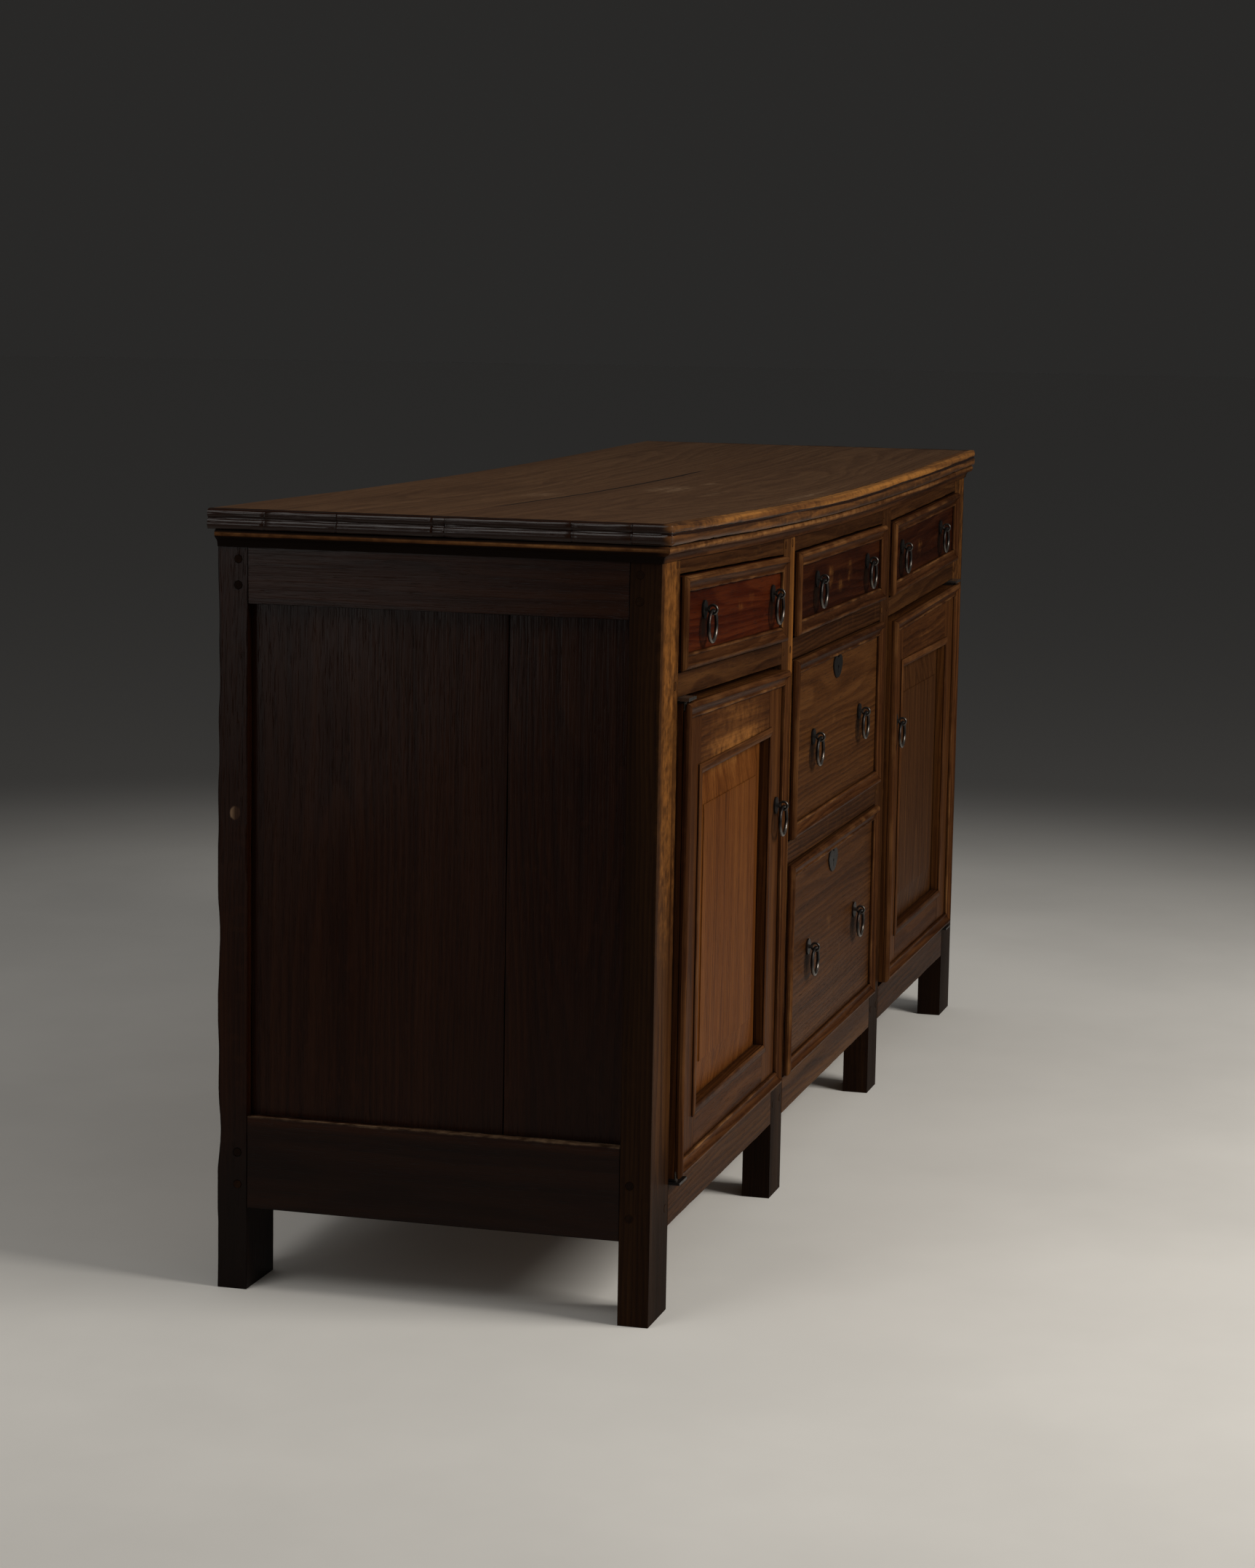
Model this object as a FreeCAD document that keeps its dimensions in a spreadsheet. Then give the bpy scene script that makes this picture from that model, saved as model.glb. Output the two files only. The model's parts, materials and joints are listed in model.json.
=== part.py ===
"""A joined oak dresser base: three frieze drawers over two doors and two deep drawers.

Sizes are millimetres. X runs along the front, the front faces -Y and +Z is up. The origin lies on
the floor under the middle of the piece. The middle of the front has settled with age, so the inner
stiles are shorter than the outer ones and what lies between them slopes.
"""
import FreeCAD, Part
import os
import re

Vector = FreeCAD.Vector

# Driving sizes
SIZES = {
    # carcase
    "carcase_width": 1780,
    "carcase_depth": 489,
    "carcase_height": 832,
    "settle": 14,
    "rear_settle": 6,
    "outer_stile_width": 75,
    "inner_stile_width": 58,
    "inner_stile_spacing": 592,
    "rear_stile_width": 82,
    "stile_thickness": 34,
    "foot_height": 92,
    # rails of the front
    "top_rail_height": 36,
    "frieze_opening": 104,
    "drawer_rail_height": 26,
    "centre_rail_height": 28,
    "lower_deep_opening": 264,
    "bottom_rail_height": 46,
    # joints of the frames
    "tenon_length": 22,
    "tenon_thickness": 10,
    "tenon_shoulder": 4,
    "tenon_setback": 9,
    "peg_radius": 4.5,
    "peg_length": 25,
    "peg_proud": 0.6,
    "front_peg_low": 0.3,
    "front_peg_middle": 0.5,
    "end_peg_low": 0.25,
    "end_peg_high": 0.6,
    # ends
    "end_rail_thickness": 28,
    "end_top_rail_height": 79,
    "end_bottom_rail_height": 102,
    "end_panel_recess": 14,
    "end_panel_thickness": 10,
    "end_panel_joint": 142,
    "panel_groove": 8,
    # back, floor and inside
    "back_rail_thickness": 22,
    "back_top_rail_height": 70,
    "back_bottom_rail_height": 70,
    "back_board_thickness": 12,
    "back_board_count": 8,
    "floor_thickness": 12,
    "floor_board_count": 9,
    "bearer_size": 20,
    "partition_thickness": 18,
    "runner_height": 26,
    "runner_reach": 20,
    "guide_height": 40,
    "guide_width": 22,
    "guide_gap": 1,
    # top and the mouldings under it
    "top_thickness": 22,
    "top_front_overhang": 15,
    "top_end_overhang": 12,
    "top_rear_overhang": 8,
    "front_board_width": 253,
    "nosing_width": 14,
    "nosing_bead": 12,
    "nosing_bead_swell": 0.21,
    "nosing_quirk": 2.5,
    "nosing_fall": 6,
    "nosing_lip_swell": 0.36,
    "cornice_height": 19,
    "cornice_width": 11,
    "cornice_bead": 10,
    "cornice_bead_swell": 0.33,
    "cornice_hollow": 0.18,
    "cornice_lip": 2,
    # drawers
    "drawer_gap": 1.5,
    "drawer_proud": 1,
    "drawer_front_thickness": 22,
    "drawer_side_thickness": 10,
    "drawer_bottom_thickness": 8,
    "drawer_bottom_groove": 4,
    "drawer_bottom_height": 8,
    "drawer_side_lap": 12,
    "drawer_side_drop": 14,
    "drawer_rear_room": 60,
    "slide_gap": 0.3,
    # planted mouldings of drawers and doors
    "moulding_width": 18,
    "moulding_edge": 3.5,
    "moulding_crest": 8.5,
    "moulding_round": 6,
    "moulding_quirk": 3,
    "moulding_bead": 4,
    "moulding_swell": 0.18,
    "moulding_hollow": 0.12,
    "bead_swell": 0.35,
    # doors
    "door_side_gap": 2.5,
    "door_end_gap": 6,
    "door_proud": 6,
    "door_thickness": 26,
    "door_stile_width": 80,
    "door_top_rail_height": 78,
    "door_bottom_rail_height": 64,
    "door_panel_thickness": 8,
    "door_panel_bevel": 40,
    "door_panel_rise": 6,
    "door_field_step": 1.5,
    "door_panel_setback": 5,
    "panel_moulding_width": 11,
    "panel_moulding_rise": 3,
    "panel_moulding_edge": 1.5,
    "panel_moulding_swell": 0.1,
    # door pivots
    "pivot_proud": 6,
    "pivot_inset": 4.5,
    "pivot_radius": 2.5,
    "pivot_fit": 0.08,
    "pivot_depth": 14,
    "pivot_room": 0.5,
    "pivot_plate_length": 32,
    "pivot_plate_thickness": 3,
    "pivot_plate_wall": 4,
    "pivot_plate_gap": 0.8,
    # ring pulls and escutcheons
    "ring_radius": 17,
    "ring_wire": 4.4,
    "eye_radius": 4.7,
    "eye_wire": 3,
    "eye_standoff": 10,
    "ring_play": 0.3,
    "shank_radius": 2.4,
    "shank_fit": 0.1,
    "clench_length": 9,
    "clench_wire": 2.4,
    "rose_radius": 10,
    "rose_thickness": 2,
    "left_pull_spacing": 326,
    "left_pull_shift": 20,
    "centre_pull_spacing": 307,
    "centre_pull_shift": 9,
    "right_pull_spacing": 290,
    "right_pull_shift": -22,
    "frieze_pull_rise": 10,
    "deep_pull_spacing": 280,
    "deep_pull_shift": -4,
    "upper_pull_rise": 3,
    "lower_pull_rise": 9,
    "door_pull_inset": 39,
    "left_door_pull_height": 489,
    "right_door_pull_height": 504,
    "escutcheon_width": 52,
    "escutcheon_height": 28,
    "escutcheon_thickness": 1.6,
    "escutcheon_drop": 33,
    "escutcheon_shift": -7,
    "keyhole_radius": 2.2,
    "keyhole_length": 8,
    "keyhole_depth": 14,
}

# Sizes worked out from the driving ones
WORKED = {
    "front_reach": "door_proud + eye_standoff + eye_radius + eye_wire / 2",
    "front_face": "(front_reach - carcase_depth - top_rear_overhang) / 2",
    "rear_face": "front_face + carcase_depth",
    "stile_back": "front_face + stile_thickness",
    "rear_stile_front": "rear_face - stile_thickness",
    "half_width": "carcase_width / 2",
    "outer_edge": "half_width - outer_stile_width",
    "inner_far": "(inner_stile_spacing + inner_stile_width) / 2",
    "inner_near": "(inner_stile_spacing - inner_stile_width) / 2",
    "rear_edge": "half_width - rear_stile_width",
    "frieze_top": "carcase_height - top_rail_height",
    "frieze_bottom": "frieze_top - frieze_opening",
    "door_head": "frieze_bottom - drawer_rail_height",
    "floor_top": "foot_height + bottom_rail_height",
    "centre_rail_bottom": "floor_top + lower_deep_opening",
    "centre_rail_top": "centre_rail_bottom + centre_rail_height",
    "settled_height": "carcase_height - settle",
    "tenon_front": "front_face + tenon_setback",
    "tenon_back": "tenon_front + tenon_thickness",
    "partition_half": "partition_thickness / 2",
    "partition_near": "inner_stile_spacing / 2 - partition_half",
    "partition_far": "inner_stile_spacing / 2 + partition_half",
    "end_inner": "half_width - end_rail_thickness",
    "panel_outer": "half_width - end_panel_recess",
    "panel_inner": "panel_outer - end_panel_thickness",
    "end_panel_low": "foot_height + end_bottom_rail_height",
    "end_panel_high": "carcase_height - end_top_rail_height",
    "board_half": "half_width + top_end_overhang - nosing_width",
    "board_front": "front_face - top_front_overhang + nosing_width",
    "board_joint": "board_front + front_board_width",
    "board_rear": "rear_face + top_rear_overhang",
    "cornice_base": "carcase_height - cornice_height",
    "back_rail_back": "rear_face - back_board_thickness",
    "back_rail_front": "back_rail_back - back_rail_thickness",
    "drawer_face": "front_face - drawer_proud",
    "drawer_front_back": "drawer_face + drawer_front_thickness",
    "drawer_rear": "rear_face - drawer_rear_room",
    "door_face": "front_face - door_proud",
    "door_back": "door_face + door_thickness",
    "door_low": "floor_top + door_end_gap",
    "door_high": "door_head - door_end_gap",
    "door_far": "outer_edge - door_side_gap",
    "door_near": "inner_far + door_side_gap",
    "door_panel_low": "door_low + door_bottom_rail_height",
    "door_panel_high": "door_high - settle - door_top_rail_height + settle / 2",
    "door_panel_front": "door_face + door_panel_setback + door_panel_rise",
    "door_panel_back": "door_panel_front + door_panel_thickness",
    "pivot_x": "door_far - pivot_inset",
    "pivot_y": "front_face - pivot_proud",
    "pivot_front": "pivot_y - pivot_radius - pivot_plate_wall",
    "ring_drop": "eye_radius - eye_wire / 2 - ring_wire / 2 - ring_play",
}

doc = FreeCAD.newDocument("dresser_base")
dims = doc.addObject("Spreadsheet::Sheet", "dims")
worked = doc.addObject("App::VarSet", "worked")
nodes = {}


def bound(text):
    """Name the sheet or the set of worked sizes before each size in an expression."""
    def owner(match):
        return ("dims." if match[0] in SIZES else "worked.") + match[0]
    return re.sub(r"[a-z]\w+", owner, str(text))


def size(name):
    """The number that a driving or worked size has."""
    return float(dims.get(name)) if name in SIZES else getattr(worked, name)


def fill_sheet():
    """Write the driving sizes to the sheet and bind the worked ones to them."""
    for row, (name, number) in enumerate(SIZES.items(), start=1):
        dims.set(f"A{row}", name)
        dims.set(f"B{row}", str(number))
        dims.setAlias(f"B{row}", name)
    doc.recompute()
    for name, text in WORKED.items():
        worked.addProperty("App::PropertyFloat", name)
        worked.setExpression(name, bound(text))
    doc.recompute()


# Building pieces

def bind(thing, sizes):
    """Bind properties of an object to expressions."""
    for prop, text in sizes.items():
        thing.setExpression(prop, bound(text))
    return thing


def board(x0, x1, y0, y1, z0, z1):
    """A square-edged board between six expressions."""
    box = doc.addObject("Part::Box", "board")
    return bind(box, {
        "Length": f"({x1}) - ({x0})",
        "Width": f"({y1}) - ({y0})",
        "Height": f"({z1}) - ({z0})",
        "Placement.Base.x": x0,
        "Placement.Base.y": y0,
        "Placement.Base.z": z0,
    })


def sloping_board(x0, x1, y0, y1, left, right):
    """A board along X whose lower and upper edges have a height at each end."""
    wedge = doc.addObject("Part::Wedge", "sloping_board")
    wedge.Placement = FreeCAD.Placement(Vector(), FreeCAD.Rotation(Vector(0, 0, 1), -90))
    return bind(wedge, {
        "Ymin": x0, "Ymax": x1,
        "Xmin": f"-({y1})", "Xmax": f"-({y0})",
        "X2min": f"-({y1})", "X2max": f"-({y0})",
        "Zmin": left[0], "Zmax": left[1],
        "Z2min": right[0], "Z2max": right[1],
    })


def raised_block(x0, x1, z0, z1, y_back, y_front, bevel):
    """A block that tapers on all four sides from its back to its front face."""
    wedge = doc.addObject("Part::Wedge", "raised_block")
    wedge.Placement = FreeCAD.Placement(Vector(), FreeCAD.Rotation(Vector(0, 0, 1), 180))
    return bind(wedge, {
        "Ymin": f"-({y_back})", "Ymax": f"-({y_front})",
        "Xmin": f"-({x1})", "Xmax": f"-({x0})",
        "Zmin": z0, "Zmax": z1,
        "X2min": f"-({x1}) + {bevel}", "X2max": f"-({x0}) - {bevel}",
        "Z2min": f"{z0} + {bevel}", "Z2max": f"{z1} - {bevel}",
    })


def rod(x, y, z, radius, length, axis):
    """A round rod that starts at a point and runs along an axis."""
    cylinder = doc.addObject("Part::Cylinder", "rod")
    cylinder.Placement.Rotation = FreeCAD.Rotation(Vector(0, 0, 1), axis)
    return bind(cylinder, {
        "Radius": radius, "Height": length,
        "Placement.Base.x": x, "Placement.Base.y": y, "Placement.Base.z": z,
    })


def peg(x, y, z, axis):
    """A riven eight-sided peg that starts just proud of the face it is driven into."""
    prism = doc.addObject("Part::Prism", "peg")
    prism.Polygon = 8
    prism.Placement.Rotation = FreeCAD.Rotation(Vector(0, 0, 1), axis)
    return bind(prism, {
        "Circumradius": "peg_radius", "Height": "peg_length",
        "Placement.Base.x": x, "Placement.Base.y": y, "Placement.Base.z": z,
    })


def wire_ring(x, y, z, radius, wire, axis):
    """A closed ring of round wire about an axis."""
    torus = doc.addObject("Part::Torus", "wire_ring")
    torus.Placement.Rotation = FreeCAD.Rotation(Vector(0, 0, 1), axis)
    return bind(torus, {
        "Radius1": radius, "Radius2": f"({wire}) / 2",
        "Placement.Base.x": x, "Placement.Base.y": y, "Placement.Base.z": z,
    })


def fused(pieces):
    """Several shapes made into one solid."""
    whole = doc.addObject("Part::MultiFuse", "fused")
    whole.Shapes = pieces
    whole.Refine = True
    return whole


def cut(base, tools):
    """A solid with other solids taken out of it."""
    rest = base
    for tool in tools:
        step = doc.addObject("Part::Cut", "cut")
        step.Base = rest
        step.Tool = tool
        rest = step
    return rest


def shaped(shape):
    """A piece whose shape is worked out in code."""
    feature = doc.addObject("Part::Feature", "shaped")
    feature.Shape = shape
    return feature


def node(label, pieces):
    """Name one piece, or a group of like pieces, as a part of the dresser base."""
    whole = pieces[0]
    if len(pieces) > 1:
        whole = doc.addObject("Part::Compound", label)
        whole.Links = pieces
    whole.Label = label
    nodes[label] = whole
    return whole


# The settled front

class Bay:
    """One upright division of the front, between two stiles that have settled by some drop."""

    def __init__(self, name, left, right, left_drop, right_drop):
        self.name = name
        self.left = left
        self.right = right
        self.left_drop = left_drop
        self.right_drop = right_drop

    def level(self, height, x):
        """The settled height, at a place along the bay, of what was once level."""
        share = f"(({x}) - ({self.left})) / (({self.right}) - ({self.left}))"
        drop = f"({self.left_drop}) + (({self.right_drop}) - ({self.left_drop})) * {share}"
        return f"({height}) - ({drop})"

    def slab(self, x0, x1, y0, y1, low, high):
        """A board across part of the bay that slopes with it."""
        left = (self.level(low, x0), self.level(high, x0))
        right = (self.level(low, x1), self.level(high, x1))
        return sloping_board(x0, x1, y0, y1, left, right)


LEFT_BAY = Bay("left", "-outer_edge", "-inner_far", "0", "settle")
CENTRE_BAY = Bay("centre", "-inner_near", "inner_near", "settle", "settle")
RIGHT_BAY = Bay("right", "inner_far", "outer_edge", "settle", "0")
FLAT_CENTRE = Bay("centre", "-inner_near", "inner_near", "0", "0")
FLAT_LEFT = Bay("left", "-outer_edge", "-inner_far", "0", "0")
FLAT_RIGHT = Bay("right", "inner_far", "outer_edge", "0", "0")
BAYS = (LEFT_BAY, CENTRE_BAY, RIGHT_BAY)
FLAT_BAYS = (FLAT_LEFT, FLAT_CENTRE, FLAT_RIGHT)

# Points nearer than this to a plane lie on it
FLUSH = 0.001

FORWARD = Vector(0, -1, 0)
BACKWARD = Vector(0, 1, 0)
UPWARD = Vector(0, 0, 1)
DOWNWARD = Vector(0, 0, -1)
RIGHTWARD = Vector(1, 0, 0)
LEFTWARD = Vector(-1, 0, 0)


class FrontFrame:
    """The stiles and rails of the front, with the tenons and pegs that join them."""

    def __init__(self):
        self.tenons = []
        self.pegs = []

    def rail(self, bay, low, high, peg_share):
        """One rail of a bay with a tenon at each end, pegged at a share of the rail's height."""
        parts = [bay.slab(bay.left, bay.right, "front_face", "stile_back", low, high)]
        pegs = []
        ends = ((bay.left, f"{bay.left} - tenon_length", bay.left),
                (bay.right, bay.right, f"{bay.right} + tenon_length"))
        for shoulder, x0, x1 in ends:
            z0 = f"{bay.level(low, shoulder)} + tenon_shoulder"
            z1 = f"{bay.level(high, shoulder)} - tenon_shoulder"
            parts.append(board(x0, x1, "tenon_front", "tenon_back", z0, z1))
            level = bay.level(f"{low} + (({high}) - ({low})) * {peg_share}", shoulder)
            pegs.append(peg(f"(({x0}) + ({x1})) / 2", "front_face - peg_proud", level, BACKWARD))
        self.tenons += parts[1:]
        self.pegs += pegs
        return cut(fused(parts), pegs)

    def stile(self, x0, x1, height, extra):
        """One full-height stile, mortised for every tenon of the front that reaches it."""
        blank = board(x0, x1, "front_face", "stile_back", "0", height)
        doc.recompute()
        reach = blank.Shape.BoundBox
        tools = [tool for tool in self.tenons + self.pegs + extra
                 if reach.intersect(tool.Shape.BoundBox)]
        return cut(blank, tools)

    def build(self, end_tools):
        """Make the rails first, because the stiles are cut to fit them."""
        low_peg = "front_peg_low"
        middle = "front_peg_middle"
        top_rails = [self.rail(bay, "frieze_top", "carcase_height", low_peg) for bay in BAYS]
        drawer_rails = [self.rail(bay, "door_head", "frieze_bottom", middle) for bay in BAYS]
        drawer_rails.append(self.rail(FLAT_CENTRE, "centre_rail_bottom", "centre_rail_top", middle))
        bottom_rails = [self.rail(bay, "foot_height", "floor_top", middle) for bay in FLAT_BAYS]
        node("front_top_rails", top_rails)
        node("front_drawer_rails", drawer_rails)
        node("front_bottom_rails", bottom_rails)
        doc.recompute()
        node("front_left_stile", [self.stile("-half_width", "-outer_edge", "carcase_height", end_tools)])
        node("front_right_stile", [self.stile("outer_edge", "half_width", "carcase_height", end_tools)])
        left_inner = self.stile("-inner_far", "-inner_near", "settled_height", [])
        right_inner = self.stile("inner_near", "inner_far", "settled_height", [])
        node("inner_stiles", [left_inner, right_inner])


# Ends, back and inside

def sided(side, near, far):
    """Two expressions for the span from near to far, put on the left or the right side."""
    return (near, far) if side > 0 else (f"-({far})", f"-({near})")


class EndFrames:
    """The two panelled ends: pegged rails between front and rear stiles, and boards between them."""

    def __init__(self):
        self.tenons = []
        self.pegs = []
        self.rails = []
        self.panels = []

    def rail(self, side, low, high, panel):
        """One end rail, grooved for the panel, with a pegged tenon in each stile."""
        x0, x1 = sided(side, "end_inner", "half_width")
        t0, t1 = sided(side, "half_width - tenon_setback - tenon_thickness", "half_width - tenon_setback")
        parts = [board(x0, x1, "stile_back", "rear_stile_front", low, high)]
        z0 = f"{low} + tenon_shoulder"
        z1 = f"{high} - tenon_shoulder"
        pegs = []
        spans = (("stile_back - tenon_length", "stile_back"),
                 ("rear_stile_front", "rear_stile_front + tenon_length"))
        start = f"{side} * (half_width + peg_proud)"
        axis = LEFTWARD if side > 0 else RIGHTWARD
        for y0, y1 in spans:
            parts.append(board(t0, t1, y0, y1, z0, z1))
            middle = f"(({y0}) + ({y1})) / 2"
            for share in ("end_peg_low", "end_peg_high"):
                pegs.append(peg(start, middle, f"{low} + (({high}) - ({low})) * {share}", axis))
        self.tenons += parts[1:]
        self.pegs += pegs
        self.rails.append(cut(fused(parts), pegs + panel))

    def panel(self, side):
        """Two upright boards that meet edge to edge, let into grooves all round."""
        x0, x1 = sided(side, "panel_inner", "panel_outer")
        joint = "stile_back + end_panel_joint - panel_groove"
        spans = (("stile_back - panel_groove", joint), (joint, "rear_stile_front + panel_groove"))
        low = "end_panel_low - panel_groove"
        high = "end_panel_high + panel_groove"
        boards = [board(x0, x1, y0, y1, low, high) for y0, y1 in spans]
        self.panels += boards
        return boards

    def build(self):
        """Make both ends and give back what is let into the stiles."""
        for side in (-1, 1):
            panel = self.panel(side)
            self.rail(side, "foot_height", "end_panel_low", panel)
            self.rail(side, "end_panel_high", "carcase_height", panel)
        node("end_rails", self.rails)
        node("end_panels", self.panels)
        return self.tenons + self.pegs + self.panels


def build_back(end_tools, top):
    """Rear stiles, two back rails tenoned between them and upright boards, all scribed to the top."""
    rails = []
    tenons = []
    spans = (("foot_height", "foot_height + back_bottom_rail_height"),
             ("settled_height - back_top_rail_height", "carcase_height"))
    y0 = "back_rail_front"
    y1 = "back_rail_back"
    for low, high in spans:
        z0 = f"{low} + tenon_shoulder"
        z1 = f"{high} - tenon_shoulder"
        ends = [board(*sided(side, "rear_edge", "rear_edge + tenon_length"),
                      f"{y0} + tenon_shoulder", f"{y0} + tenon_shoulder + tenon_thickness", z0, z1)
                for side in (-1, 1)]
        tenons += ends
        rails.append(cut(fused([board("-rear_edge", "rear_edge", y0, y1, low, high)] + ends), [top]))
    doc.recompute()
    stiles = []
    for side in (-1, 1):
        x0, x1 = sided(side, "rear_edge", "half_width")
        blank = board(x0, x1, "rear_stile_front", "rear_face", "0", "carcase_height")
        doc.recompute()
        reach = blank.Shape.BoundBox
        tools = [tool for tool in end_tools + tenons if reach.intersect(tool.Shape.BoundBox)]
        stiles.append(cut(blank, tools + [top]))
    node("back_rails", rails)
    node("rear_stiles", stiles)
    count = int(size("back_board_count"))
    step = "(2 * rear_edge / back_board_count)"
    boards = [board(f"-rear_edge + {step} * {i}", f"-rear_edge + {step} * {i + 1}", y1, "rear_face",
                    "foot_height", "carcase_height") for i in range(count)]
    node("back_boards", [cut(plank, [top]) for plank in boards])


def build_inside():
    """Partitions, floor on its bearers, and the runners and guides of the drawers."""
    partitions = [board(*sided(side, "partition_near", "partition_far"), "stile_back", "back_rail_front",
                        "floor_top", "settled_height") for side in (-1, 1)]
    node("partitions", partitions)
    floor_low = "floor_top - floor_thickness"
    count = int(size("floor_board_count"))
    step = "(2 * end_inner / floor_board_count)"
    floor = [board(f"-end_inner + {step} * {i}", f"-end_inner + {step} * {i + 1}", "stile_back",
                   "back_rail_front", floor_low, "floor_top") for i in range(count)]
    for y0, y1 in (("stile_back", "stile_back + bearer_size"),
                   ("back_rail_front - bearer_size", "back_rail_front")):
        floor.append(board("-rear_edge", "rear_edge", y0, y1, f"{floor_low} - bearer_size", floor_low))
    node("floor_boards", floor)
    node("drawer_runners", drawer_runners())


def drawer_runners():
    """A runner under each drawer side and a guide beside it, carried between front and back."""
    end = "outer_edge + guide_width"
    walls = {"left": (f"-({end})", "-partition_far"), "centre": ("-partition_near", "partition_near"),
             "right": ("partition_far", end)}
    runs = [(bay, "frieze_bottom") for bay in BAYS]
    runs += [(FLAT_CENTRE, "centre_rail_top"), (FLAT_CENTRE, "floor_top")]
    pieces = []
    for bay, top in runs:
        left_wall, right_wall = walls[bay.name]
        high = f"{top} + guide_height"
        spans = [(left_wall, f"{bay.left} - guide_gap", top, high),
                 (f"{bay.right} + guide_gap", right_wall, top, high)]
        if top != "floor_top":
            low = f"{top} - runner_height"
            spans.append((left_wall, f"{bay.left} + runner_reach", low, top))
            spans.append((f"{bay.right} - runner_reach", right_wall, low, top))
        for x0, x1, z0, z1 in spans:
            pieces.append(bay.slab(x0, x1, "stile_back", "back_rail_front", z0, z1))
    return pieces


# Top and its mouldings

def settled_line():
    """Places along the front, with the drop of the settled top at each."""
    outer = size("outer_edge")
    inner = size("inner_far")
    drop = size("settle")
    return [(-outer, 0), (-inner, drop), (inner, drop), (outer, 0)]


def top_board(y0, y1):
    """A long board of the top that has bent with the front, less towards the rear."""
    low = size("carcase_height")
    front = size("board_front")
    spared = (1 - size("rear_settle") / size("settle")) / (size("board_rear") - front)
    half = size("board_half")
    sections = []
    for x, drop in [(-half, 0)] + settled_line() + [(half, 0)]:
        edges = [Vector(x, y, low - drop * (1 - spared * (y - front))) for y in (y0, y1)]
        thickness = UPWARD * size("top_thickness")
        corners = edges + [edges[1] + thickness, edges[0] + thickness]
        sections.append(Part.makePolygon(corners + corners[:1]))
    return shaped(Part.makeLoft(sections, True, True))


def build_top():
    """The two boards of the top; the rear one is given back."""
    joint = size("board_joint")
    node("top_front_board", [top_board(size("board_front"), joint)])
    return node("top_rear_board", [top_board(joint, size("board_rear"))])


def section(corner, across, rise, profile):
    """The cross-section of a moulding at a corner, from steps across and up; a pair of steps is an arc."""
    def place(step):
        return corner + across * step[0] + rise * step[1]

    here = place(profile[0])
    edges = []
    for step in profile[1:] + profile[:1]:
        if isinstance(step[0], tuple):
            there = place(step[1])
            edges.append(Part.Arc(here, place(step[0]), there).toShape())
        else:
            there = place(step)
            edges.append(Part.LineSegment(here, there).toShape())
        here = there
    return Part.Wire(edges)


def round_the_top(half, front, rear, height, profile):
    """A moulding along the left end, the settled front and the right end, mitred at the corners."""
    left_corner = section(Vector(-half, front, height), LEFTWARD + FORWARD, UPWARD, profile)
    right_corner = section(Vector(half, front, height), RIGHTWARD + FORWARD, UPWARD, profile)
    between = [section(Vector(x, front, height - drop), FORWARD, UPWARD, profile)
               for x, drop in settled_line()]
    left_end = section(Vector(-half, rear, height), LEFTWARD, UPWARD, profile)
    right_end = section(Vector(half, rear, height), RIGHTWARD, UPWARD, profile)
    lengths = ([left_end, left_corner], [left_corner] + between + [right_corner], [right_corner, right_end])
    return [shaped(Part.makeLoft(wires, True, True)) for wires in lengths]


def bow(start, end, share):
    """An arc step of a profile, off the middle of its chord to the right by a share of the chord."""
    run = (end[0] - start[0], end[1] - start[1])
    middle = ((start[0] + end[0]) / 2, (start[1] + end[1]) / 2)
    return (middle[0] + run[1] * share, middle[1] - run[0] * share), end


def nosing_profile():
    """A rounded lip over a bead with a quirk between them, from the edge of the boards outward."""
    wide = size("nosing_width")
    low = (wide - size("nosing_quirk"), 0)
    quirk = (wide - size("nosing_quirk"), size("nosing_bead"))
    high = (wide - size("nosing_fall"), size("top_thickness"))
    return [(0, 0), low, bow(low, quirk, size("nosing_bead_swell")), bow(quirk, high, size("nosing_lip_swell")),
            (0, size("top_thickness"))]


def cornice_profile():
    """A hollow under a bead, from the face of the carcase outward."""
    bead = size("cornice_bead")
    height = size("cornice_height")
    neck = size("cornice_width") - bead * size("cornice_bead_swell")
    lip = (size("cornice_lip"), 0)
    throat = (neck, height - bead)
    crown = (neck, height)
    hollow = bow(lip, throat, -size("cornice_hollow"))
    return [(0, 0), lip, hollow, bow(throat, crown, size("cornice_bead_swell")), (0, height)]


def build_top_mouldings():
    """The rounded nosing round the top, and the bead and hollow under it."""
    node("top_nosing", round_the_top(size("board_half"), size("board_front"), size("board_rear"),
                                     size("carcase_height"), nosing_profile()))
    node("cornice_moulding", round_the_top(size("half_width"), size("front_face"), size("rear_face"),
                                           size("cornice_base"), cornice_profile()))


# Planted mouldings

def edge_profile():
    """Planted moulding from its outer edge inward: a round to the crest, a hollow and a small bead."""
    wide = size("moulding_width")
    quirk = size("moulding_quirk")
    edge = (0, size("moulding_edge"))
    crest = (size("moulding_round"), size("moulding_crest"))
    foot = (wide - size("moulding_bead"), quirk)
    inside = (wide, quirk)
    return [(0, 0), edge, bow(edge, crest, -size("moulding_swell")), bow(crest, foot, size("moulding_hollow")),
            bow(foot, inside, -size("bead_swell")), (wide, 0)]


def panel_profile():
    """Small rounded moulding round a door panel, from the opening outward."""
    wide = size("panel_moulding_width")
    edge = (0, size("panel_moulding_edge"))
    crest = (wide / 2, size("panel_moulding_rise"))
    fall = (wide, size("panel_moulding_edge"))
    swell = size("panel_moulding_swell")
    return [(0, 0), edge, bow(edge, crest, -swell), bow(crest, fall, -swell), (wide, 0)]


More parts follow.
